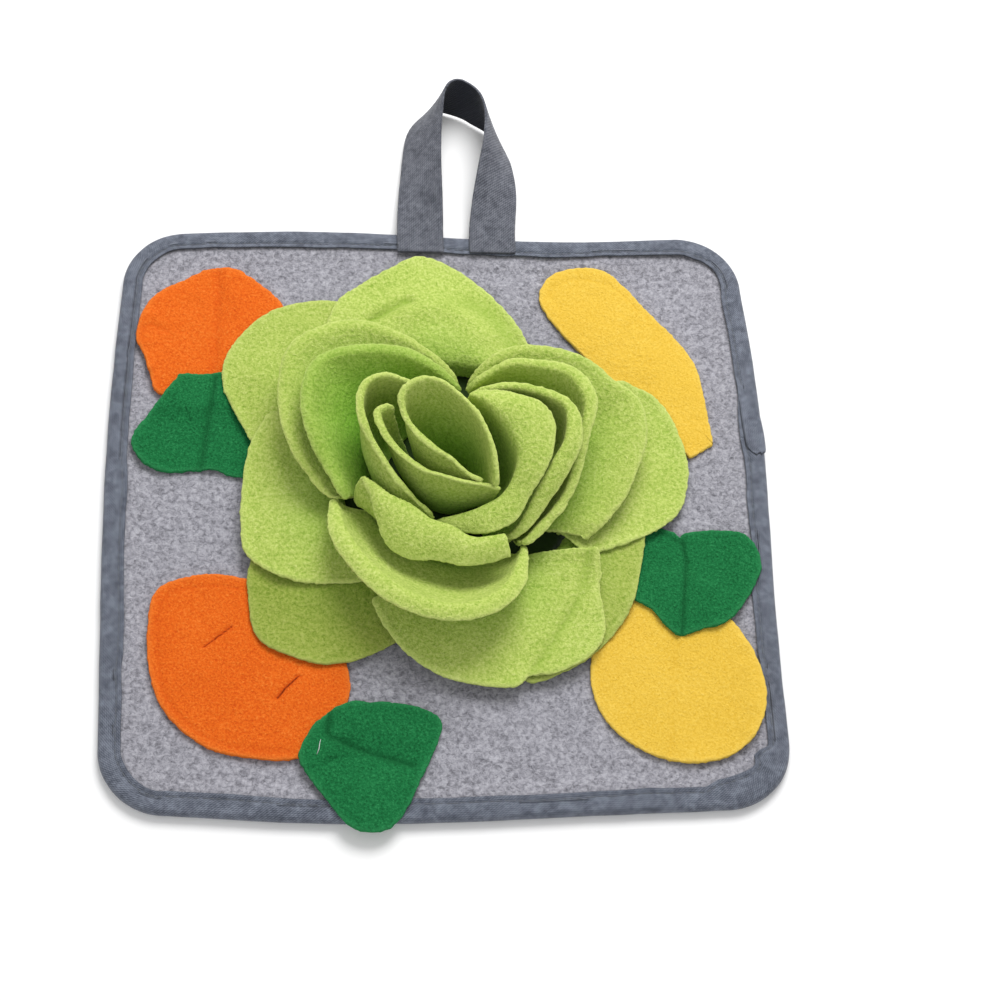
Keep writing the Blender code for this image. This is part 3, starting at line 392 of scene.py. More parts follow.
def grid_faces(points):
    """Triangles of a (rows, columns, 3) sheet, each cell split along its shorter diagonal."""
    rows, columns = points.shape[:2]
    faces = []
    for row in range(rows - 1):
        for column in range(columns - 1):
            a = row * columns + column
            b, c, d = a + columns, a + columns + 1, a + 1
            down = math.dist(points[row, column], points[row + 1, column + 1])
            up = math.dist(points[row + 1, column], points[row, column + 1])
            faces += [(a, b, c), (a, c, d)] if down <= up else [(a, b, d), (b, c, d)]
    return faces


def stand_off(normal, distance):
    """Height that keeps a sheet this far from a slope, measured square to the slope."""
    return distance / max(abs(normal.z), STEEPEST)


def over(low, high, x, y):
    return low[0] <= x <= high[0] and low[1] <= y <= high[1]


def height_under(x, y, half, layers):
    """The lowest a sheet's middle may lie at x, y, on top of every layer."""
    height = -math.inf
    for layer in layers:
        if over(layer.low, layer.high, x, y):
            hit, normal = layer.tree.ray_cast(Vector((x, y, OVERHEAD)), DOWN)[:2]
            if hit is not None:
                height = max(height, hit.z + stand_off(normal, layer.half + GAP + half))
    return height


def height_about(x, y, reach, half, layers):
    """The lowest a sheet's middle may lie at x, y and everywhere within reach of it."""
    height = height_under(x, y, half, layers)
    for step in range(8):
        turn = math.tau * step / 8
        height = max(height, height_under(x + reach * math.cos(turn), y + reach * math.sin(turn),
                                          half, layers))
    return height


def facet_shortfall(points, faces, half, layers):
    """How much each point must rise for the flat facets to clear every layer below them."""
    short = np.zeros(len(points))
    for face in faces:
        corners = points[list(face)]
        for x, y, z in (corners.mean(axis=0), *edge_middles(corners)):
            lack = height_under(x, y, half, layers) - z
            short[list(face)] = np.maximum(short[list(face)], lack)
    own = surface(points, faces)
    low, high = points.min(axis=0), points.max(axis=0)
    for layer in layers:
        for x, y, z in layer.spots:
            if over(low, high, x, y):
                hit, normal, face, _ = own.ray_cast(Vector((x, y, OVERHEAD)), DOWN)
                if hit is not None:
                    lack = z + stand_off(normal, layer.half + GAP + half) - hit.z
                    corners = list(faces[face])
                    short[corners] = np.maximum(short[corners], lack)
    return short


def lift_clear(points, faces, half, layers, passes):
    for _ in range(passes):
        points[:, 2] += facet_shortfall(points, faces, half, layers)
    return points


def lay(points, faces, half, layers, link, reach):
    """Rest an almost flat sheet on the layers: it bridges softly over what it covers."""
    limit = np.array([height_about(x, y, reach, half, layers) for x, y, _ in points])
    height = np.maximum(points[:, 2], limit)
    for _ in range(SOFTENING_PASSES):
        height = np.maximum(np.maximum(limit, link @ height), points[:, 2])
    laid = np.column_stack([points[:, :2], height])
    return lift_clear(laid, faces, half, layers, LAYING_PASSES)


def neighbour_average(count, faces):
    """Matrix that replaces each point's value by the mean of itself and its neighbours."""
    link = np.eye(count) * 2.0
    for face in faces:
        for first, second in zip(face, face[1:] + face[:1]):
            link[first, second] = link[second, first] = 1.0
    return link / link.sum(axis=1, keepdims=True)


def beyond(distance, side):
    """How far past a sheet's edge a spot lies, from its distance and its height off the sheet."""
    return math.sqrt(max(distance * distance - side * side, 0.0))


def push_from(layer, points, need):
    """Moves that take points to the upper or inner side of a layer, need away from it."""
    moves = np.zeros_like(points)
    close = np.all((points >= layer.low - need) & (points <= layer.high + need), axis=1)
    for index in np.flatnonzero(close):
        point = Vector(points[index])
        spot, normal, _, distance = layer.tree.find_nearest(point, SURFACE_SEARCH)
        if spot is None:
            continue
        away = point - spot
        side = away.dot(normal)
        if beyond(distance, side) > PAST_EDGE:
            if distance < need and side > -0.5 * need:
                moves[index] = away.normalized() * (need - distance)
        elif side < need:
            moves[index] = normal * (need - side)
    return moves


def settle(points, faces, half, layers, link):
    """Ease a sheet off every placed layer, and spread each push over the cloth around it."""
    placed = points
    for number in range(SETTLING_PASSES):
        push = np.zeros_like(points)
        own = surface(points, faces)
        low, high = points.min(axis=0), points.max(axis=0)
        for layer in layers:
            need = half + layer.half + GAP + FACET_ALLOWANCE
            if np.any(layer.low - need > high) or np.any(layer.high + need < low):
                continue
            moves = push_from(layer, points, need)
            longer = np.linalg.norm(moves, axis=1) > np.linalg.norm(push, axis=1)
            push[longer] = moves[longer]
            inside = np.all((layer.points >= low - need) & (layer.points <= high + need), axis=1)
            for spot in layer.points[inside]:
                close, normal, face, distance = own.find_nearest(Vector(spot), SURFACE_SEARCH)
                if close is None:
                    continue
                side = (Vector(spot) - close).dot(normal)
                if beyond(distance, side) < PAST_EDGE and side > -need:
                    move = np.array(normal) * (side + need)
                    for corner in faces[face]:
                        if np.linalg.norm(move) > np.linalg.norm(push[corner]):
                            push[corner] = move
        if not push.any():
            break
        if number >= SETTLING_PASSES - UNEASED_PASSES:
            points = points + push
            continue
        shift = points + push - placed
        eased = link @ (link @ shift)
        pushed = np.linalg.norm(push, axis=1) > 0.0
        part = (1.0 - EASING) * shift + EASING * eased
        points = placed + np.where(pushed[:, None], part, eased)
    return points


# ---- from a laid sheet to finished cloth -----------------------------------------------------
def refine(sheet, rows, columns, wrap=False):
    """The same (rows, columns, 3) sheet with more points, smooth between the ones it has."""
    count, across = sheet.shape[:2]
    down = smooth_curve(sheet.reshape(count, -1), np.linspace(0.0, 1.0, rows + 1))
    down = down.reshape(rows + 1, across, 3).transpose(1, 0, 2)
    if wrap:
        values, down = wrapped(down, columns)
    else:
        values = np.linspace(0.0, 1.0, columns + 1)
    fine = smooth_curve(down.reshape(len(down), -1), values)
    return fine.reshape(len(values), rows + 1, 3).transpose(1, 0, 2)


def wrapped(points, count):
    """Curve parameters for count points round a closed line, and the line overlapping itself."""
    closed = np.concatenate([points[-2:], points, points[:3]])
    return (2 + np.arange(count) / count * len(points)) / (len(closed) - 1), closed


def sheet_normals(sheet, wrap=False):
    spare = 2 if wrap else 0
    padded = np.pad(sheet, ((0, 0), (spare, spare), (0, 0)), mode="wrap")
    across = np.gradient(padded, axis=1)[:, spare:spare + sheet.shape[1]]
    normals = unit(np.cross(np.gradient(sheet, axis=0), across))
    if wrap:
        normals[0] = unit(normals[1].mean(axis=0))
    return normals


def rim_distance(sheet, wrap=False):
    """Distance through the cloth from each point to the nearest cut edge."""
    down = travelled(sheet)
    distance = down[-1] - down
    if not wrap:
        across = travelled(sheet, axis=1)
        distance = np.minimum(distance, np.minimum(across, across[:, -1:] - across))
    return distance.reshape(-1)


def cloth_mesh(sheet, half, wrap=False):
    """Close a middle surface into cloth with rounded cut edges.

    Returns the points, the direction each one faces, the faces and the distance to the rim.
    """
    rows, columns = sheet.shape[:2]
    index = np.arange(rows * columns).reshape(rows, columns)
    if wrap:
        here, beside, loop = index, np.roll(index, -1, axis=1), index[-1]
    else:
        here, beside = index[:, :-1], index[:, 1:]
        loop = np.concatenate([index[0, :0:-1], index[:-1, 0], index[-1, :-1], index[:0:-1, -1]])
    cells = np.stack([here[:-1], here[1:], beside[1:], beside[:-1]], axis=-1).reshape(-1, 4)
    middle, facing = sheet.reshape(-1, 3), sheet_normals(sheet, wrap).reshape(-1, 3)
    edge, above = middle[loop], facing[loop]
    outward = unit(np.cross(unit(np.roll(edge, -1, axis=0) - np.roll(edge, 1, axis=0)), above))
    points, directions = [middle + facing * half, middle - facing * half], [facing, -facing]
    rings = [loop]
    for step in range(1, RIM_STEPS + 1):
        angle = math.pi / 2 - math.pi * step / (RIM_STEPS + 1)
        out, rise = outward * math.cos(angle), above * math.sin(angle)
        points.append(edge + out * RIM_BULGE * half + rise * half)
        directions.append(out + rise)
        rings.append(2 * len(middle) + (step - 1) * len(loop) + np.arange(len(loop)))
    rings.append(loop + len(middle))
    faces = [cells, cells[:, ::-1] + len(middle)]
    for upper, lower in zip(rings, rings[1:]):
        faces.append(np.stack([upper, lower, np.roll(lower, -1), np.roll(upper, -1)], axis=-1))
    reach = rim_distance(sheet, wrap)
    reach = np.concatenate([reach, reach, np.zeros(RIM_STEPS * len(loop))])
    return np.concatenate(points), np.concatenate(directions), np.concatenate(faces), reach


def weld_middle(sheet, points, faces, values):
    """Merge the first ring of each side of a wrapped sheet, which is one point, to that point."""
    columns = sheet.shape[1]
    size = sheet.shape[0] * columns
    same = np.arange(len(points))
    same[:columns], same[size:size + columns] = 0, size
    used, place = np.unique(same, return_inverse=True)
    faces = place[faces]
    merged = (np.diff(np.sort(faces, axis=1), axis=1) == 0).any(axis=1)
    fans = np.array([list(dict.fromkeys(face)) for face in faces[merged]])
    return points[used], [faces[~merged], fans], {key: item[used] for key, item in values.items()}


def into_scene(name, data):
    item = bpy.data.objects.new(name, data)
    bpy.context.scene.collection.objects.link(item)
    return item


def add_piece(name, points, faces, material, values):
    """Make a piece of points in millimetres, with float or vector values on its points."""
    mesh = bpy.data.meshes.new(name)
    faces = [np.asarray(block) for block in (faces if isinstance(faces, list) else [faces])]
    sizes = np.concatenate([np.full(len(block), block.shape[1]) for block in faces])
    corners = np.concatenate([block.reshape(-1) for block in faces])
    mesh.vertices.add(len(points))
    mesh.vertices.foreach_set("co", (np.asarray(points) * MM).astype(np.float32).reshape(-1))
    mesh.loops.add(len(corners))
    mesh.loops.foreach_set("vertex_index", corners.astype(np.int32))
    mesh.polygons.add(len(sizes))
    mesh.polygons.foreach_set("loop_start", (np.cumsum(sizes) - sizes).astype(np.int32))
    mesh.polygons.foreach_set("use_smooth", np.full(len(sizes), True))
    mesh.update(calc_edges=True)
    for key, value in values.items():
        value = np.asarray(value, dtype=np.float32)
        kind, field = ("FLOAT", "value") if value.ndim == 1 else ("FLOAT_VECTOR", "vector")
        mesh.attributes.new(key, kind, "POINT").data.foreach_set(field, value.reshape(-1))
    mesh.validate()
    mesh.materials.append(material)
    piece = into_scene(name, mesh)
    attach(piece, "root")
    return piece


def fleece_piece(name, sheet, thickness, material, seed, marks, painted_shadow=0.0, wrap=False):
    """Finish a fine middle surface as fleece, with its nap and a slightly ragged cut edge.

    marks are values on the sheet's points that its material reads; painted shade over the whole
    piece is one value.
    """
    points, directions, faces, reach = cloth_mesh(sheet, thickness / 2, wrap)
    swell = 0.30 * soft_noise(points, 7.0, seed) + 0.12 * soft_noise(points, 2.6, seed + 1)
    nap = 0.13 * soft_noise(points, 1.25, seed + 2)
    ragged = 0.30 * soft_noise(points, 1.7, seed + 3) + 0.24 * soft_noise(points, 0.8, seed + 4)
    ragged *= np.exp(-reach / FRAY_REACH)
    points = points + directions * (swell * 0.6 + nap + ragged)[:, None]
    # rim paints the cut edges paler, as fuzz and a painted highlight; the whole-piece value is
    # painted shade
    values = {"rim": np.exp(-reach / PALE_REACH), "painted_shadow": np.full(len(points), painted_shadow)}
    for key, mark in marks.items():
        values[key] = np.concatenate([mark, mark, np.zeros(len(points) - 2 * len(mark))])
    if wrap:
        points, faces, values = weld_middle(sheet, points, faces, values)
    return add_piece(name, points, faces, material, values)


def press_creases(name, sheet):
    """Dip or raise a fine sheet along its creases. Returns its points and the painted shade on
    each.
    """
    flat = sheet.reshape(-1, 3).copy()
    deep, drop = np.zeros(len(flat)), np.zeros(len(flat))
    for crease in CREASES.get(name, []):
        share = np.exp(-(distance_to_line(flat, crease.line) / crease.width) ** 2)
        drop += share * crease.depth
        deep = np.maximum(deep, share * crease.dark)
    flat[:, 2] -= drop
    return flat, deep


def opened_out(sheet):
    """Width and length in metres that a (rows, columns, 3) sheet has opened out, and its area."""
    a, b = sheet[:-1, :-1] - sheet[1:, 1:], sheet[1:, :-1] - sheet[:-1, 1:]
    area = np.linalg.norm(np.cross(a, b), axis=2).sum() / 2.0
    return travelled(sheet, 1)[:, -1].max() * MM, travelled(sheet)[-1].max() * MM, area * MM * MM


def declare(node, flat, area=None):
    """Hide the solid that a cloth piece stands for. The size it was cut to, flat and area, is not
    used.
    """
    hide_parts(node)
    if area is not None:
        area = min(max(area, 0.3 * flat[0] * flat[1]), flat[0] * flat[1])


# ---- materials -------------------------------------------------------------------------------
class Look:
    """A material being put together: the nodes that feed its Principled shader."""

    def __init__(self, name):
        self.material = bpy.data.materials.new(name)
        self.material.use_nodes = True
        self.tree = self.material.node_tree

    def feed(self, node, inputs):
        """Link each input to another node's output, or set it to a number, vector or colour."""
        for key, value in inputs.items():
            socket = node.inputs[key]
            if isinstance(value, bpy.types.NodeSocket):
                self.tree.links.new(value, socket)
            else:
                socket.default_value = (*value, 1.0) if socket.type == "RGBA" else value

    def node(self, kind, inputs, **settings):
        node = self.tree.nodes.new("ShaderNode" + kind)
        for key, value in settings.items():
            setattr(node, key, value)
        self.feed(node, inputs)
        return node

    def place(self):
        return self.node("TexCoord", {}).outputs["Object"]

    def attribute(self, name, output="Fac"):
        return self.node("Attribute", {}, attribute_name=name).outputs[output]

    def noise(self, scale, detail=2.0, roughness=0.6, distortion=0.0, place=None):
        return self.node("TexNoise", {
            "Vector": self.place() if place is None else place, "Scale": scale, "Detail": detail,
            "Roughness": roughness, "Distortion": distortion}).outputs["Fac"]

    def turned(self, vector, angle):
        inputs = {"Vector": vector, "Rotation": (0.0, 0.0, angle)}
        return self.node("Mapping", inputs).outputs[0]

    def wave(self, vector, scale, direction="X"):
        inputs = {"Vector": vector, "Scale": scale, "Distortion": 0.0}
        return self.node("TexWave", inputs, bands_direction=direction).outputs["Fac"]

    def math(self, operation, *values, clamp=False):
        inputs = dict(enumerate(values))
        return self.node("Math", inputs, operation=operation, use_clamp=clamp).outputs[0]

    def weighted(self, *terms, start=0.0):
        """start plus each term's value times its weight."""
        for value, weight in terms:
            start = self.math("MULTIPLY_ADD", value, weight, start)
        return start

    def ramp(self, factor, stops):
        node = self.node("ValToRGB", {"Fac": factor})
        elements = node.color_ramp.elements
        while len(elements) < len(stops):
            elements.new(0.5)
        for element, (position, colour) in zip(elements, stops):
            element.position = position
            element.color = (*colour, 1.0)
        return node.outputs["Color"]

    def mix(self, factor, first, second, blend="MIX"):
        inputs = {0: factor, 6: first, 7: second}
        return self.node("Mix", inputs, data_type="RGBA", blend_type=blend).outputs[2]

    def bump(self, strength, distance, height, over=None):
        inputs = {"Strength": strength, "Distance": distance, "Height": height}
        if over is not None:
            inputs["Normal"] = over
        return self.node("Bump", inputs).outputs["Normal"]

    def finished(self, inputs):
        self.feed(self.tree.nodes["Principled BSDF"], inputs)
        return self.material


def scaled(colour, amount):
    return tuple(min(1.0, channel * amount) for channel in colour)


def fleece_material(name, colour, deep, tip, shaded=None, grain=1.0):
    """Brushed fleece: soft pebbled nap, darker between its tufts and paler on its cut edges, a
    paleness that is fibre fuzz and a painted highlight.

    shaded is the colour of painted shade, laid on by the attribute depth towards the roots and by
    a second attribute over whole pieces; painted shade darkens its creases, and its slits the most.
    """
    look = Look(name)
    tufts = look.noise(950.0 / grain, 3.0, 0.62, 0.3)
    pile = look.noise(2300.0 / grain, 2.0, 0.7)
    drift = look.noise(38.0, 2.0, 0.5)
    base = look.ramp(look.weighted((drift, 0.10), (pile, 0.38), (tufts, 0.62), start=-0.05),
                     [(0.34, deep), (0.53, colour), (0.72, tip)])
    # paler cut edges: fibre fuzz and a painted highlight where the edge catches light
    base = look.mix(look.math("MULTIPLY", look.attribute("rim"), 0.40), base, tip)
    # painted shade in creases, slits and sewn grooves: a little darker, near black in the slits
    painted_crease_shade = look.attribute("painted_crease_shade")
    base = look.mix(look.math("MULTIPLY", painted_crease_shade, 0.35, clamp=True), base, deep)
    painted_slit_shade = look.math("MULTIPLY_ADD", painted_crease_shade, 0.6, -1.1, clamp=True)
    base = look.mix(painted_slit_shade, base, scaled(deep, 0.25))
    # painted shade: towards the roots by depth, and over whole pieces
    if shaded is not None:
        base = look.mix(look.attribute("depth"), base, shaded, "MULTIPLY")
        base = look.mix(look.attribute("painted_shadow"), base, (0.50, 0.50, 0.32), "MULTIPLY")
    return look.finished({
        "Base Color": base, "Roughness": look.math("MULTIPLY_ADD", pile, -0.15, 1.0),
        "Normal": look.bump(0.5, 0.0002, pile, look.bump(0.85, 0.0008, tufts)),
        "Specular IOR Level": 0.12, "Sheen Weight": 0.28, "Sheen Roughness": 0.45,
        "Sheen Tint": scaled(tip, 1.25)})


def felt_material():
    """Grey marl felt: pale and dark fibres pressed together at every angle."""
    look = Look("felt_marl")
    marl = look.noise(520.0, 4.0, 0.68, 0.6)
    flecks = look.noise(210.0, 3.0, 0.75, 1.2)
    strand = 0.0
    for turn, shift in ((0.4, 0.0), (1.5, 3.0), (2.5, 7.0)):
        spin = look.node("Mapping", {"Vector": look.place(), "Rotation": (0.0, 0.0, turn),
                                     "Location": (shift, shift, 0.0), "Scale": (0.16, 1.0, 1.0)})
        fibres = look.noise(2100.0, 2.0, 0.6, 1.5, spin.outputs[0])
        strand = look.math("MAXIMUM", strand, fibres)
    base = look.ramp(look.weighted((marl, 0.55), (flecks, 0.20), (strand, 0.25)),
                     [(0.36, (0.090, 0.089, 0.105)), (0.45, (0.195, 0.193, 0.218)),
                      (0.53, (0.310, 0.306, 0.342)), (0.64, (0.455, 0.450, 0.495))])
    dark = look.math("GREATER_THAN", look.noise(330.0, 2.0, 0.8, 2.0), 0.665)
    base = look.mix(look.math("MULTIPLY", dark, 0.45), base, (0.075, 0.072, 0.085))
    # painted shade, tinted green, on the felt beneath the petals
    base = look.mix(look.attribute("under"), base, (0.022, 0.046, 0.010))
    return look.finished({
        "Base Color": base, "Roughness": 0.95,
        "Normal": look.bump(0.7, 0.0005, look.math("MULTIPLY_ADD", strand, 0.6, marl)),
        "Specular IOR Level": 0.15, "Sheen Weight": 0.12, "Sheen Roughness": 0.5})


def woven_material(name, colour, dark, pale, pitch, slant, reverse=None):
    """Woven tape or webbing. Its threads follow the strip: weave is (along, across) in metres."""
    look = Look(name)
    wobble = look.node("TexNoise", {"Vector": look.place(), "Scale": 260.0, "Detail": 2.0})
    wobble = look.node("VectorMath", {0: wobble.outputs["Color"], 1: (0.5, 0.5, 0.5)},
                       operation="SUBTRACT").outputs[0]
    threads = look.node("VectorMath", {0: wobble, 1: (0.0005, 0.0005, 0.0005),
                                       2: look.attribute("weave", "Vector")},
                        operation="MULTIPLY_ADD").outputs[0]
    twill = look.wave(look.turned(threads, slant), WAVE_BAND / pitch)
    warp = look.wave(threads, WAVE_BAND / pitch, "Y")
    cloud = look.noise(420.0, 3.0, 0.7)
    value = look.weighted((twill, 0.13), (warp, 0.07), (cloud, 0.50), (look.noise(150.0), 0.30))
    base = look.ramp(value, [(0.36, dark), (0.50, colour), (0.64, pale)])
    # painted shade by the attribute shade: the tape's inner rim, under side and lap edges
    edge = look.math("MULTIPLY", look.attribute("shade"), 0.85, clamp=True)
    base = look.mix(edge, base, scaled(dark, 0.3))
    # the webbing's reverse face, where under is one, is drawn near-black
    if reverse is not None:
        base = look.mix(look.attribute("under"), base,
                        look.mix(cloud, scaled(reverse, 0.6), reverse))
    twist = look.bump(0.55, 0.00022, look.math("MULTIPLY_ADD", warp, 0.6, twill))
    return look.finished({
        "Base Color": base, "Roughness": look.math("MULTIPLY_ADD", cloud, 0.2, 0.65),
        "Normal": look.bump(0.35, 0.0003, cloud, twist),
        "Specular IOR Level": 0.25, "Sheen Weight": 0.15})


def thread_material(name, colour, pale):
    """Twisted sewing thread."""
    look = Look(name)
    ply = look.wave(look.turned(look.attribute("weave", "Vector"), 0.7), 900.0)
    value = look.weighted((ply, 0.5), (look.noise(900.0), 0.5))
    return look.finished({
        "Base Color": look.ramp(value, [(0.3, colour), (0.75, pale)]),
        "Roughness": look.math("MULTIPLY_ADD", ply, 0.15, 0.6),
        "Normal": look.bump(0.5, 0.0001, ply)})


# ---- felt, binding and loop ------------------------------------------------------------------
def mat_edge(inset, steps):
    """Anticlockwise outline of the mat, this far in, from the foot of the right side."""
    side_steps, corner_steps = steps
    straight = MAT_HALF - CORNER_RADIUS
    points = []
    for number, (bulge, wave) in enumerate(SIDES):
        turn = math.radians(90 * number)
        outward = np.array([math.cos(turn), math.sin(turn)])
        along = np.array([-math.sin(turn), math.cos(turn)])
        for step in range(side_steps):
            t = step / side_steps
            bow = bulge * math.sin(math.pi * t) + wave * math.sin(math.tau * t)
            points.append(outward * (MAT_HALF + bow - inset) + along * straight * (2 * t - 1))
        centre = outward * straight + along * straight
        for step in range(corner_steps):
            angle = turn + math.pi / 2 * step / corner_steps
            arm = np.array([math.cos(angle), math.sin(angle)])
            points.append(centre + arm * (CORNER_RADIUS - inset))
    return np.array(points)


def ring_at(inset, height, steps):
    points = mat_edge(inset, steps)
    return np.column_stack([points, np.full(len(points), height)])


def felt_lift(inset):
    """How high the felt's under side stands in the tape, falling to the floor further in."""
    share = smooth_step((inset - FELT_DISH_START) / (FELT_FLAT_INSET - FELT_DISH_START))
    return (TAPE_THICKNESS + GAP) * (1.0 - share)


def ring_layer(rings, close_middle):
    count = len(rings[0])
    following = [(step + 1) % count for step in range(count)]
    faces = []
    for start in range(0, (len(rings) - 1) * count, count):
        for step, beside in enumerate(following):
            a, b = start + step, start + beside
            faces += [(a, b, b + count), (a, b + count, a + count)]
    points = np.concatenate(rings)
    if close_middle:
        inner = len(points) - count
        faces += [(inner + a, inner + b, len(points)) for a, b in enumerate(following)]
        points = np.vstack([points, UP * rings[-1][0]])
    return make_layer(points, faces, 0.0)


def mat_layers():
    """The felt's and the binding's upper faces, which everything sewn on the mat lies on."""
    insets = [0.5, FELT_DISH_START, 13.0, 15.5, 18.0, FELT_FLAT_INSET]
    felt = [ring_at(inset, FELT_THICKNESS + felt_lift(inset), LAYER_EDGE) for inset in insets]
    tape = [ring_at(inset, BINDING_TOP, LAYER_EDGE) for inset in (0.0, BINDING_TOP_WIDTH)]
    return [ring_layer(felt, True), ring_layer(tape, False)]


def make_felt(material):
    insets = [FELT_INSET, 4.0, 7.0, 9.5] + [11.0 + step for step in range(10)]
    rings = [ring_at(inset, felt_lift(inset), FELT_EDGE) for inset in insets]
    shares = np.linspace(1.0, 0.0, FELT_RINGS + 1)[1:]
    rings += [rings[-1] * [share, share, 1.0] for share in shares]
    sheet = np.array(rings[::-1]) + UP * FELT_THICKNESS / 2
    points, directions, faces, reach = cloth_mesh(sheet, FELT_THICKNESS / 2, wrap=True)
    uneven = 0.10 * soft_noise(points, 2.4, 11) + 0.16 * soft_noise(points, 9.0, 12)
    slow = 0.30 * soft_noise(points * PLAN, 34.0, 13) * smooth_step((reach - 9.0) / 12.0)
    upper = directions[:, 2] > 0.5
    out = np.where(upper, uneven - 0.1, 0.3 * np.minimum(uneven, 0.0))
    points = points + directions * out[:, None]
    points[:, 2] += np.where(upper, slow - 0.1, np.maximum(slow, 0.0) * 0.5)
    points, faces, _ = weld_middle(sheet, points, faces, {})
    # painted shade on the felt beneath the petals, fading out past HIDDEN_RADIUS
    reach = np.hypot(*(points[:, :2] - FLOWER).T)
    under = 1.0 - smooth_step((reach - HIDDEN_RADIUS) / 9.0)
    piece = add_piece("mat_felt", points, faces, material, {"under": under})
    side = 2 * (MAT_HALF - FELT_INSET) * MM
    declare("base_felt", (side, side))


def binding_section(width, puff):
    """The folded tape across its length, from its under edge round the mat's edge to its inner rim.

    Each point is (distance in from the mat's edge, height, distance through the tape, painted
    shade)."""
    top, t = BINDING_TOP, TAPE_THICKNESS
    fold, middle = 2.2, top / 2
    outer = [(BINDING_UNDER_WIDTH, 0.0), (7.0, 0.0), (5.0, 0.0), (3.4, 0.0)]
    for step in range(9):
        angle = math.pi / 2 + math.pi * step / 8
        outer.append((fold + fold * math.cos(angle) * 0.97, middle - middle * math.sin(angle)))
    seam = width - SEAM_INSET
    for spot in (3.2, 4.4, 5.6, 6.6, seam - 0.9, seam - 0.4, seam, seam + 0.4, seam + 0.9,
                 width - 0.5, width):
        crown = puff * math.sin(math.pi * min(max((spot - 1.5) / (seam - 1.5), 0.0), 1.0))
        dip = 0.45 * near(spot, seam, 0.55)
        lift = 0.18 * max(spot - seam - 0.4, 0.0) / 1.9
        outer.append((spot, top + crown - dip + lift - 0.15))
    under = top - t - 0.1
    inner = [(width + 0.1, top - 0.35), (width, top - 0.8), (width - 0.6, top - t), (seam, under),
             (6.0, under), (t + 0.5, under), (t, under - 0.6), (t, t + 0.7), (t + 0.5, t), (5.0, t),
             (BINDING_UNDER_WIDTH - 0.3, t)]
    spots = np.array(outer + inner)
    # painted shade: none on the upper face, most on the inner rim and the under side
    shade = np.ones(len(spots))
    shade[:len(outer) - 1] = 0.0
    shade[len(outer) - 1:len(outer) + 1] = 0.15, 0.8
    return np.column_stack([spots, travelled(spots), shade])


def edge_run():
    """Stations along the mat's edge from the lap round to the lap: point, arm inwards, run."""
    outer = mat_edge(0.0, TAPE_EDGE)
    arms = (mat_edge(BINDING_TOP_WIDTH, TAPE_EDGE) - outer) / BINDING_TOP_WIDTH
    first = np.argmax(outer[:, 1] > LAP_Y)
    outer, arms = np.roll(outer, -first, axis=0), np.roll(arms, -first, axis=0)
    outer, arms = np.vstack([outer, outer[:1]]), np.vstack([arms, arms[:1]])
    return outer, arms, travelled(outer)


def pucker(x, y):
    """How much further in the tape's inner rim reaches, and how much it bunches up there."""
    corner = MAT_HALF - CORNER_RADIUS
    angle = math.degrees(math.atan2(y + corner, x - corner))
    if x > 108.0 and y < -108.0:
        extra = np.interp(angle, *np.transpose(CORNER_PUCKER))
        return float(extra), 0.7 * near(angle, -14, 7) + 0.9 * near(angle, -52, 12)
    if x > 130.0 and y > 0.0:
        return 1.7 * near(y, 37, 16), 0.35 * near(y, 95, 30)
    if y > 130.0 and x > 15.0:
        return (0.7 * near(x, 58, 14) - 0.5 * near(x, 84, 10),
                0.4 * near(x, 55, 22) + 0.5 * near(x, 118, 18))
    if y < -130.0:
        return 0.0, 0.3 * near(x, 21, 4) + 0.25 * near(x, -100, 12)
    return 0.0, 0.0


def tube_sides(index):
    """Faces between the rings of a tube, whose points index numbers ring by ring."""
    beside = np.roll(index, -1, axis=1)
    return np.stack([index[:-1], beside[:-1], beside[1:], index[1:]], axis=-1).reshape(-1, 4)


def tube(first, rings, count):
    """Faces of a tube with flat ends, for rings of count points numbered from first."""
    index = first + np.arange(rings * count).reshape(rings, count)
    half = count // 2
    start, end = (np.stack([ring[:half - 1], ring[1:half], ring[-2:half - 1:-1], ring[:half:-1]],
                           axis=-1) for ring in index[[0, -1]])
    return tube_sides(index), start[:, ::-1], end


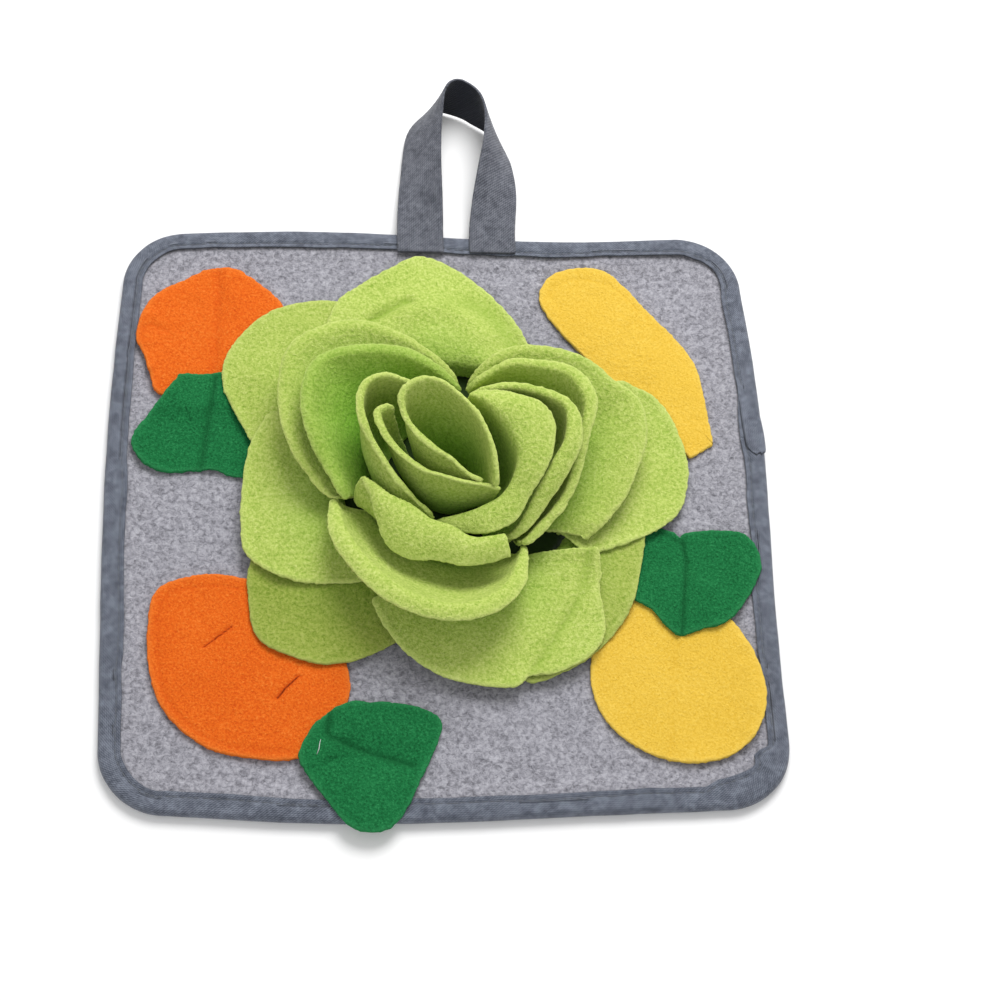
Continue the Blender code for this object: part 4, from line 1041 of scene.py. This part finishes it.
def make_binding(material, thread):
    points, arms, run = edge_run()
    spots = np.column_stack([run, np.zeros((len(run), 2))])
    waves = 0.55 * soft_noise(spots, 24.0, 21) + 0.25 * soft_noise(spots, 7.0, 22)
    puffs = 0.35 + 0.15 * soft_noise(spots, 15.0, 23)
    shifts = 0.125 * soft_noise(spots, 11.0, 24)
    body, weave, shade, seam = [], [], [], []
    for point, arm, along, wave, puff, shift in zip(points, arms, run, waves, puffs, shifts):
        extra, bunch = pucker(*point)
        width = BINDING_TOP_WIDTH + wave + extra
        inset, height, through, dark = binding_section(width, puff).T
        rise = bunch * np.clip((inset - 4.0) / 5.0, 0.0, 1.0) * (height > 3.0)
        place = point + arm * shift
        body.append(np.column_stack([place + np.outer(inset, arm), height + rise]))
        weave.append(np.column_stack([np.full_like(inset, along), through, np.zeros_like(inset)]))
        shade.append(dark)
        seam.append([*(place + arm * (width - SEAM_INSET)), BINDING_TOP - 0.42 + bunch * 0.8])
    count = len(body[0])
    middles = [body[0].mean(axis=0), body[-1].mean(axis=0)]
    body = np.concatenate(body)
    index = np.arange(len(body)).reshape(-1, count)
    start, end, hub = index[0], index[-1], np.full(count, len(body))
    fans = [np.column_stack([hub, start, np.roll(start, -1)]),
            np.column_stack([hub + 1, np.roll(end, -1), end])]
    lap, lap_faces, lap_weave, lap_shade = tape_lap(points, arms, len(body) + 2)
    points = np.vstack([body, middles, lap])
    points[:, 2] += 0.05 * soft_noise(points, 1.3, 25)
    values = {"weave": np.vstack([*weave, np.zeros((2, 3)), lap_weave]) * MM,
              "shade": np.concatenate([*shade, [1.0, 1.0], lap_shade])}
    faces = [tube_sides(index)[:, ::-1], *fans, *lap_faces]
    piece = add_piece("mat_binding", points, faces, material, values)
    declare("edge_binding", TAPE_FLAT, TAPE_AREA)
    stitches = make_stitches("binding_stitches", np.array(seam), 3.1, 0.95, 0.26, thread)


def tape_lap(points, arms, first):
    """The tape's end from above, laid over its start, its cut edge a little frayed.

    Returns its points, its faces numbered from first, its weave and its painted shade."""
    beyond_start = np.outer(np.arange(LAP_STEPS + 1) / LAP_STEPS, [0.0, -LAP_LENGTH])
    places = np.vstack([points[LAP_STATIONS:0:-1], points[0] + beyond_start])
    arms = np.vstack([arms[LAP_STATIONS:0:-1], np.tile(arms[0], (LAP_STEPS + 1, 1))])
    along = travelled(places)[:, None]
    left = along[-1] - along
    inner = (9.9 - 1.2 * smooth_step((along - 24.0) / 24.0)
             - 3.8 * np.maximum(1.0 - left / 6.0, 0.0) ** 2)
    outer = (1.8 - 2.3 * smooth_step((along - 10.0) / 30.0)
             + 0.8 * np.maximum(1.0 - left / 3.0, 0.0))
    high = BINDING_TOP - 0.55 + (0.75 + GAP) * smooth_step((along - 4.0) / 26.0)
    share = np.linspace(0.0, 1.0, LAP_COLUMNS)
    depth = outer + (inner - outer) * share
    spots = places[:, None] + arms[:, None] * depth[..., None]
    frayed = 0.5 * np.sin(depth * 2.6) + 0.35 * np.sin(depth * 5.1 + 1.0) + (5.0 - depth) * 0.2
    spots[..., 1] += frayed * np.maximum(1.0 - left / 2.0, 0.0)
    fall = 1.1 * np.maximum(1.0 - (depth - outer) / 1.2, 0.0) ** 2
    upper = np.dstack([spots, high + 0.28 * np.sin(math.pi * share) - fall])
    lower = upper[:, ::-1] - UP * TAPE_THICKNESS * 0.8
    lap = np.concatenate([upper, lower], axis=1)
    across = np.hstack([depth, depth[:, ::-1]])
    weave = np.dstack([np.broadcast_to(along, across.shape), across, np.zeros_like(across)])
    # painted shade on the lap's rims and under side, and most at its cut end
    shade = np.tile(np.repeat([0.0, 0.8, 1.0, 0.8], [LAP_COLUMNS - 1, 1] * 2), (len(lap), 1))
    shade[-1] = np.maximum(shade[-1], 0.9)
    return (lap.reshape(-1, 3), tube(first, len(lap), 2 * LAP_COLUMNS), weave.reshape(-1, 3),
            shade.reshape(-1))


def make_stitches(name, path, pitch, share, radius, material):
    """A row of lockstitch: short bent threads whose ends dive into the cloth."""
    t = np.linspace(0.0, 1.0, STITCH_CUTS + 1)
    turns = math.tau * np.arange(STITCH_SIDES) / STITCH_SIDES
    sizes = radius * (0.45 + 0.55 * np.sin(math.pi * np.clip(t, 0.08, 0.92)))[:, None, None]
    points, faces, weave = [], [], []
    for stitch in range(int(travelled(path)[-1] // pitch)):
        start = stitch * pitch + 0.12 * pitch * (1.0 + math.sin(2.3 * stitch))
        places = start + pitch * share * (0.88 + 0.08 * math.sin(1.7 * stitch)) * t
        centres = along_line(path, places)
        centres[:, 2] += radius * (1.2 * np.sin(math.pi * t) - 0.9)
        forward = unit(centres[-1] - centres[0])
        side = unit(np.cross(forward, UP))
        ring = np.outer(np.cos(turns), side) + np.outer(np.sin(turns), np.cross(side, forward))
        faces += [block[:, ::-1] for block in tube(len(weave), len(t), STITCH_SIDES)]
        points.append((centres[:, None] + sizes * ring).reshape(-1, 3))
        weave += [(place, radius * turn, 0.0) for place in places for turn in turns]
    return add_piece(name, np.concatenate(points), np.concatenate(faces), material,
                     {"weave": np.array(weave) * MM})


def make_loop(material):
    rows, columns = LOOP_GRID
    values = np.linspace(0.0, 1.0, rows + 1)
    outer, inner = smooth_curve(LOOP[:, :3], values), smooth_curve(LOOP[:, 3:], values)
    path, across = (outer + inner) / 2, inner - outer
    across *= (WEBBING_WIDTH / np.linalg.norm(across, axis=1))[:, None]
    share = np.linspace(-0.5, 0.5, columns + 1)
    sheet = path[:, None] + across[:, None] * share[:, None]
    points, directions, faces, _ = cloth_mesh(sheet[::-1], WEBBING_THICKNESS / 2)
    size = (rows + 1) * (columns + 1)
    run = travelled(path)
    weave = points[:, [1, 2, 0]] * PLAN
    face = np.column_stack([np.repeat(run[::-1], columns + 1),
                            np.tile(share * WEBBING_WIDTH, rows + 1), np.zeros(size)])
    weave[:2 * size] = np.vstack([face, face])
    under = np.zeros(len(points))
    under[size:2 * size] = 1.0
    points = points + directions * (0.05 * soft_noise(points, 1.4, 31))[:, None]
    piece = add_piece("webbing_loop", points, faces, material,
                      {"weave": weave * MM, "under": under, "shade": np.zeros(len(points))})
    flat = (WEBBING_WIDTH * MM, float(run[-1]) * MM)
    declare("hang_loop", flat)


def make_thread_end(layers, material):
    """The loose white end of the thread the lowest leaf is sewn with, lying over the tape."""
    path = [(x, y, height_under(x, y, THREAD_RADIUS, layers) - GAP + THREAD_RADIUS)
            for x, y in THREAD_END]
    thread = make_stitches("leaf_bottom_thread", np.array(path), 8.2, 0.98, THREAD_RADIUS, material)


# ---- fruit and leaves ------------------------------------------------------------------------
def patch_grid(outline, rings, segments):
    """A flat sheet as rings of points, (rings + 1, segments, 3), from the middle out."""
    values, closed = wrapped(np.array(outline, dtype=float), segments)
    edge = smooth_curve(closed, values)
    middle = edge.mean(axis=0)
    share = np.linspace(0.0, 1.0, rings + 1)[:, None, None]
    flat = middle + (edge - middle) * share
    return np.concatenate([flat, np.zeros((rings + 1, segments, 1))], axis=2)


def polar_faces(rings, segments):
    faces = []
    for ring in range(rings):
        for step in range(segments):
            a, b = ring * segments + step, ring * segments + (step + 1) % segments
            faces.append((a, a + segments, b + segments))
            if ring:
                faces.append((a, b + segments, b))
    return faces


def make_patches(layers, materials):
    half = PATCH_THICKNESS / 2
    rings, segments = PATCH_GRID
    faces = polar_faces(rings, segments)
    link = neighbour_average((rings + 1) * segments, faces)
    for number, patch in enumerate(PATCHES):
        flat = patch_grid(patch.outline, rings, segments)
        points = lay(flat.reshape(-1, 3), faces, half, layers, link, PATCH_BRIDGE)
        points[:segments] = points[:segments].mean(axis=0)
        layers.append(make_layer(points, faces, half))
        laid = points.reshape(flat.shape)
        around = travelled(laid[-1])[-1]
        outwards = np.linalg.norm(laid[-1] - laid[0], axis=1).max()
        fine = refine(laid, int(outwards / PATCH_CELL), int(around / PATCH_CELL), wrap=True)
        points, deep = press_creases(patch.name, fine)
        points[:, 2] += 0.22 * soft_noise(points * PLAN, 16.0, 40 + number) + 0.05
        piece = fleece_piece(patch.name + "_cloth", points.reshape(fine.shape), PATCH_THICKNESS,
                             materials[patch.slot], 100 + 10 * number, {"painted_crease_shade": deep}, wrap=True)
        x, y, _ = edge = flat[-1].T
        area = abs(np.sum(x * np.roll(y, -1) - y * np.roll(x, -1))) / 2.0
        declare(patch.name, tuple(np.ptp(edge[:2], axis=1) * MM),
                area * MM * MM)


# ---- the flower ------------------------------------------------------------------------------
def from_axis(bearing, distance, height):
    turn = math.radians(bearing)
    return np.array([*(FLOWER + distance * np.array([math.cos(turn), math.sin(turn)])), height])


def even_rows(profile, rows):
    """Points spaced evenly along a profile."""
    return along_line(profile, np.linspace(0.0, travelled(profile)[-1], rows + 1))


def petal_profile(root, crest, lip, outward, bow, hump, drop):
    """One line of a petal from its root, up the wall and softly over into its lip."""
    chord = crest - root
    away = unit((crest - [*FLOWER, 0.0]) * PLAN)
    lift = np.cross(unit(chord), [-away[1], away[0], 0.0])
    share = np.linspace(0.0, 1.0, WALL_POINTS)[:, None]
    wall = root + chord * share + lift * bow * np.sin(math.pi * share**hump)
    share = share[1:]
    turned = crest + outward * lip * share
    turned[:, 2:] += lip * (0.4 * share - (0.4 + drop) * share**2)
    line = even_rows(np.vstack([wall, turned]), PROFILE_STEPS)
    spacing = np.linalg.norm(line[1] - line[0])
    softness = min(0.25, (SOFT_TURN * lip / spacing) ** 2 / (2 * PROFILE_PASSES))
    for _ in range(PROFILE_PASSES):
        line[1:-1] += softness * (line[:-2] - 2 * line[1:-1] + line[2:])
    return line


def lip_directions(stations, across):
    """Level directions square to the crest, which its lip turns over to."""
    runs = np.gradient(stations[:, :3] * PLAN, axis=0)
    square = unit(np.cross(runs, UP))
    place = across * (len(stations) - 1)
    numbers = np.arange(len(stations))
    return unit(np.column_stack([np.interp(place, numbers, part) for part in square.T]))


def between(pair, share):
    return pair[0] + (pair[1] - pair[0]) * share


def petal_sheet(petal, rows, columns):
    """The petal's middle surface, (rows + 1, columns + 1, 3), from its root to its rim."""
    across = np.linspace(0.0, 1.0, columns + 1)
    across = 0.6 * across + 0.4 * (0.5 + 0.5 * np.sin((across - 0.5) * math.pi))
    stations = np.array([[*from_axis(*station[:3]), station[3]] for station in petal.crest])
    roots = [from_axis(between(petal.root, share), petal.radius, FELT_THICKNESS + GAP + 0.2)
             for share in (0.0, 1.0, *across)]
    size = 0.8 * np.linalg.norm(stations[1] - stations[0])
    leave, arrive = unit(stations[0][:3] - roots[0]), unit(roots[1] - stations[-1][:3])
    tangents = (np.append(leave * size, 0.0), np.append(arrive * size, 0.0))
    crest = smooth_curve(stations, across, tangents)
    sheet = [even_rows(petal_profile(root, line[:3], line[3], outward, between(petal.bow, share),
                                     petal.hump, petal.drop), rows)
             for root, line, outward, share in
             zip(roots[2:], crest, lip_directions(stations, across), across)]
    return np.stack(sheet, axis=1)


def sit_root(points, faces, half, layers, flat_one):
    """Bring a petal's sewn edge down onto the felt, an outer one's onto whatever lies there."""
    sheet = points.reshape(PETAL_GRID[0] + 1, -1, 3)
    if flat_one:
        for spot in sheet[0]:
            spot[2] = height_about(*spot[:2], ROOT_BRIDGE, half, layers) + SEAT_CLEARANCE
        return lift_clear(points, faces, half, layers, SEATING_PASSES)
    rise = sheet[1] - sheet[0]
    lean = np.linalg.norm(rise[:, :2], axis=1) / np.linalg.norm(rise, axis=1)
    sheet[0, :, 2] = FELT_THICKNESS + GAP + half * lean + SEAT_CLEARANCE
    return points


def make_petals(layers, material):
    half = PETAL_THICKNESS / 2
    for number, petal in enumerate(PETALS):
        flat_one = petal.name.startswith("petal_outer")
        design = petal_sheet(petal, *PETAL_GRID)
        faces = grid_faces(design)
        points = design.reshape(-1, 3)
        link = neighbour_average(len(points), faces)
        if flat_one:
            points = lay(points, faces, half, layers, link, PETAL_BRIDGE)
        else:
            points = settle(points, faces, half, layers, link)
        points = sit_root(points.copy(), faces, half, layers, flat_one)
        layers.append(make_layer(points, faces, half))
        width, length, area = opened_out(design)
        rows, columns = int(length / MM / PETAL_CELL), int(width / MM / PETAL_CELL)
        moved = points.reshape(design.shape) - design
        fine = petal_sheet(petal, rows, columns) + refine(moved, rows, columns)
        points, deep = press_creases(petal.name, fine)
        fine = points.reshape(fine.shape)
        free = np.exp(-rim_distance(fine) / FREE_REACH)
        wave = (0.35 * soft_noise(points, 19.0, 60 + number)
                + 0.3 * free * soft_noise(points, 9.0, 80 + number))
        fine = fine + sheet_normals(fine) * wave.reshape(rows + 1, -1, 1)
        shade = petal.shade
        # painted shade: darker towards the root, and over the whole petal by shade.overall
        up = np.repeat(np.linspace(0.0, 1.0, rows + 1), columns + 1)
        marks = {"painted_crease_shade": deep, "depth": (1.0 - smooth_step(up / shade.reach)) * shade.root}
        piece = fleece_piece(petal.name + "_cloth", fine, PETAL_CLOTH, material, 300 + 10 * number,
                             marks, shade.overall)
        declare(petal.name, (width, length), area)


# ---- the scene -------------------------------------------------------------------------------
def make_stage():
    half, height = 3.0, CAD_BOX[0][2] - 0.0002
    mesh = bpy.data.meshes.new("floor")
    mesh.from_pydata([(-half, -half, height), (half, -half, height), (half, half, height),
                      (-half, half, height)], [], [(0, 1, 2, 3)])
    mesh.materials.append(Look("pale_floor").finished({
        "Base Color": (0.93, 0.93, 0.93), "Roughness": 0.9, "Specular IOR Level": 0.1}))
    floor = into_scene("floor", mesh)


def aim(item, place, target, roll=0.0):
    """Point a camera or light from place to target, its top turned roll degrees clockwise."""
    place, target = Vector(place), Vector(target)
    forward = (target - place).normalized()
    right = forward.cross(Vector(UP)).normalized()
    above = right.cross(forward)
    turn = math.radians(roll)
    side = right * math.cos(turn) + above * math.sin(turn)
    top = above * math.cos(turn) - right * math.sin(turn)
    matrix = Matrix((side, top, -forward)).transposed().to_4x4()
    matrix.translation = place
    item.matrix_world = matrix


def make_camera():
    data = bpy.data.cameras.new("camera")
    data.sensor_width, data.lens, data.clip_start = 36.0, 78.82, 0.01
    camera = into_scene("camera", data)
    aim(camera, (-0.0551, -0.4802, 0.8749), (0.0275, 0.0038, 0.0), roll=8.6)
    bpy.context.scene.camera = camera


def make_light():
    scene = bpy.context.scene
    scene.world = bpy.data.worlds.new("studio")
    scene.world.use_nodes = True
    background = scene.world.node_tree.nodes["Background"]
    background.inputs["Color"].default_value = (1.0, 1.0, 1.0, 1.0)
    background.inputs["Strength"].default_value = 0.50
    scene.view_settings.view_transform = "Standard"
    for name, place, size, power in (("key", (0.24, 0.80, 1.05), 0.9, 17.5),
                                     ("fill", (-0.3, -0.9, 1.0), 1.0, 3.5)):
        data = bpy.data.lights.new(name, "AREA")
        data.shape, data.size, data.energy = "DISK", size, power
        aim(into_scene(name, data), place, (0.0, 0.0, 0.0))


def main():
    make_camera()
    make_stage()
    make_light()
    lime = fleece_material("fleece_lime", (0.450, 0.555, 0.125), (0.235, 0.365, 0.042),
                           (0.640, 0.715, 0.245), shaded=(0.35, 0.77, 0.18), grain=1.35)
    orange = fleece_material("fleece_orange", (0.740, 0.135, 0.010), (0.560, 0.065, 0.004),
                             (0.840, 0.240, 0.040))
    yellow = fleece_material("fleece_yellow", (0.770, 0.505, 0.065), (0.650, 0.390, 0.030),
                             (0.860, 0.610, 0.120))
    green = fleece_material("fleece_green", (0.010, 0.155, 0.045), (0.003, 0.068, 0.018),
                            (0.036, 0.260, 0.090))
    tape = woven_material("binding_twill", (0.112, 0.126, 0.162), (0.052, 0.060, 0.080),
                          (0.185, 0.205, 0.250), 0.0009, 0.9)
    webbing = woven_material("webbing_weave", (0.092, 0.098, 0.120), (0.042, 0.046, 0.060),
                             (0.155, 0.162, 0.190), 0.0011, 0.785, reverse=(0.018, 0.021, 0.031))
    thread = thread_material("grey_thread", (0.09, 0.10, 0.12), (0.17, 0.185, 0.21))
    white = thread_material("white_thread", (0.40, 0.45, 0.42), (0.66, 0.70, 0.67))
    make_felt(felt_material())
    make_binding(tape, thread)
    make_loop(webbing)
    layers = mat_layers()
    make_patches(layers, {"fleece_orange": orange, "fleece_yellow": yellow, "fleece_green": green})
    make_petals(layers, lime)
    make_thread_end(layers, white)


main()
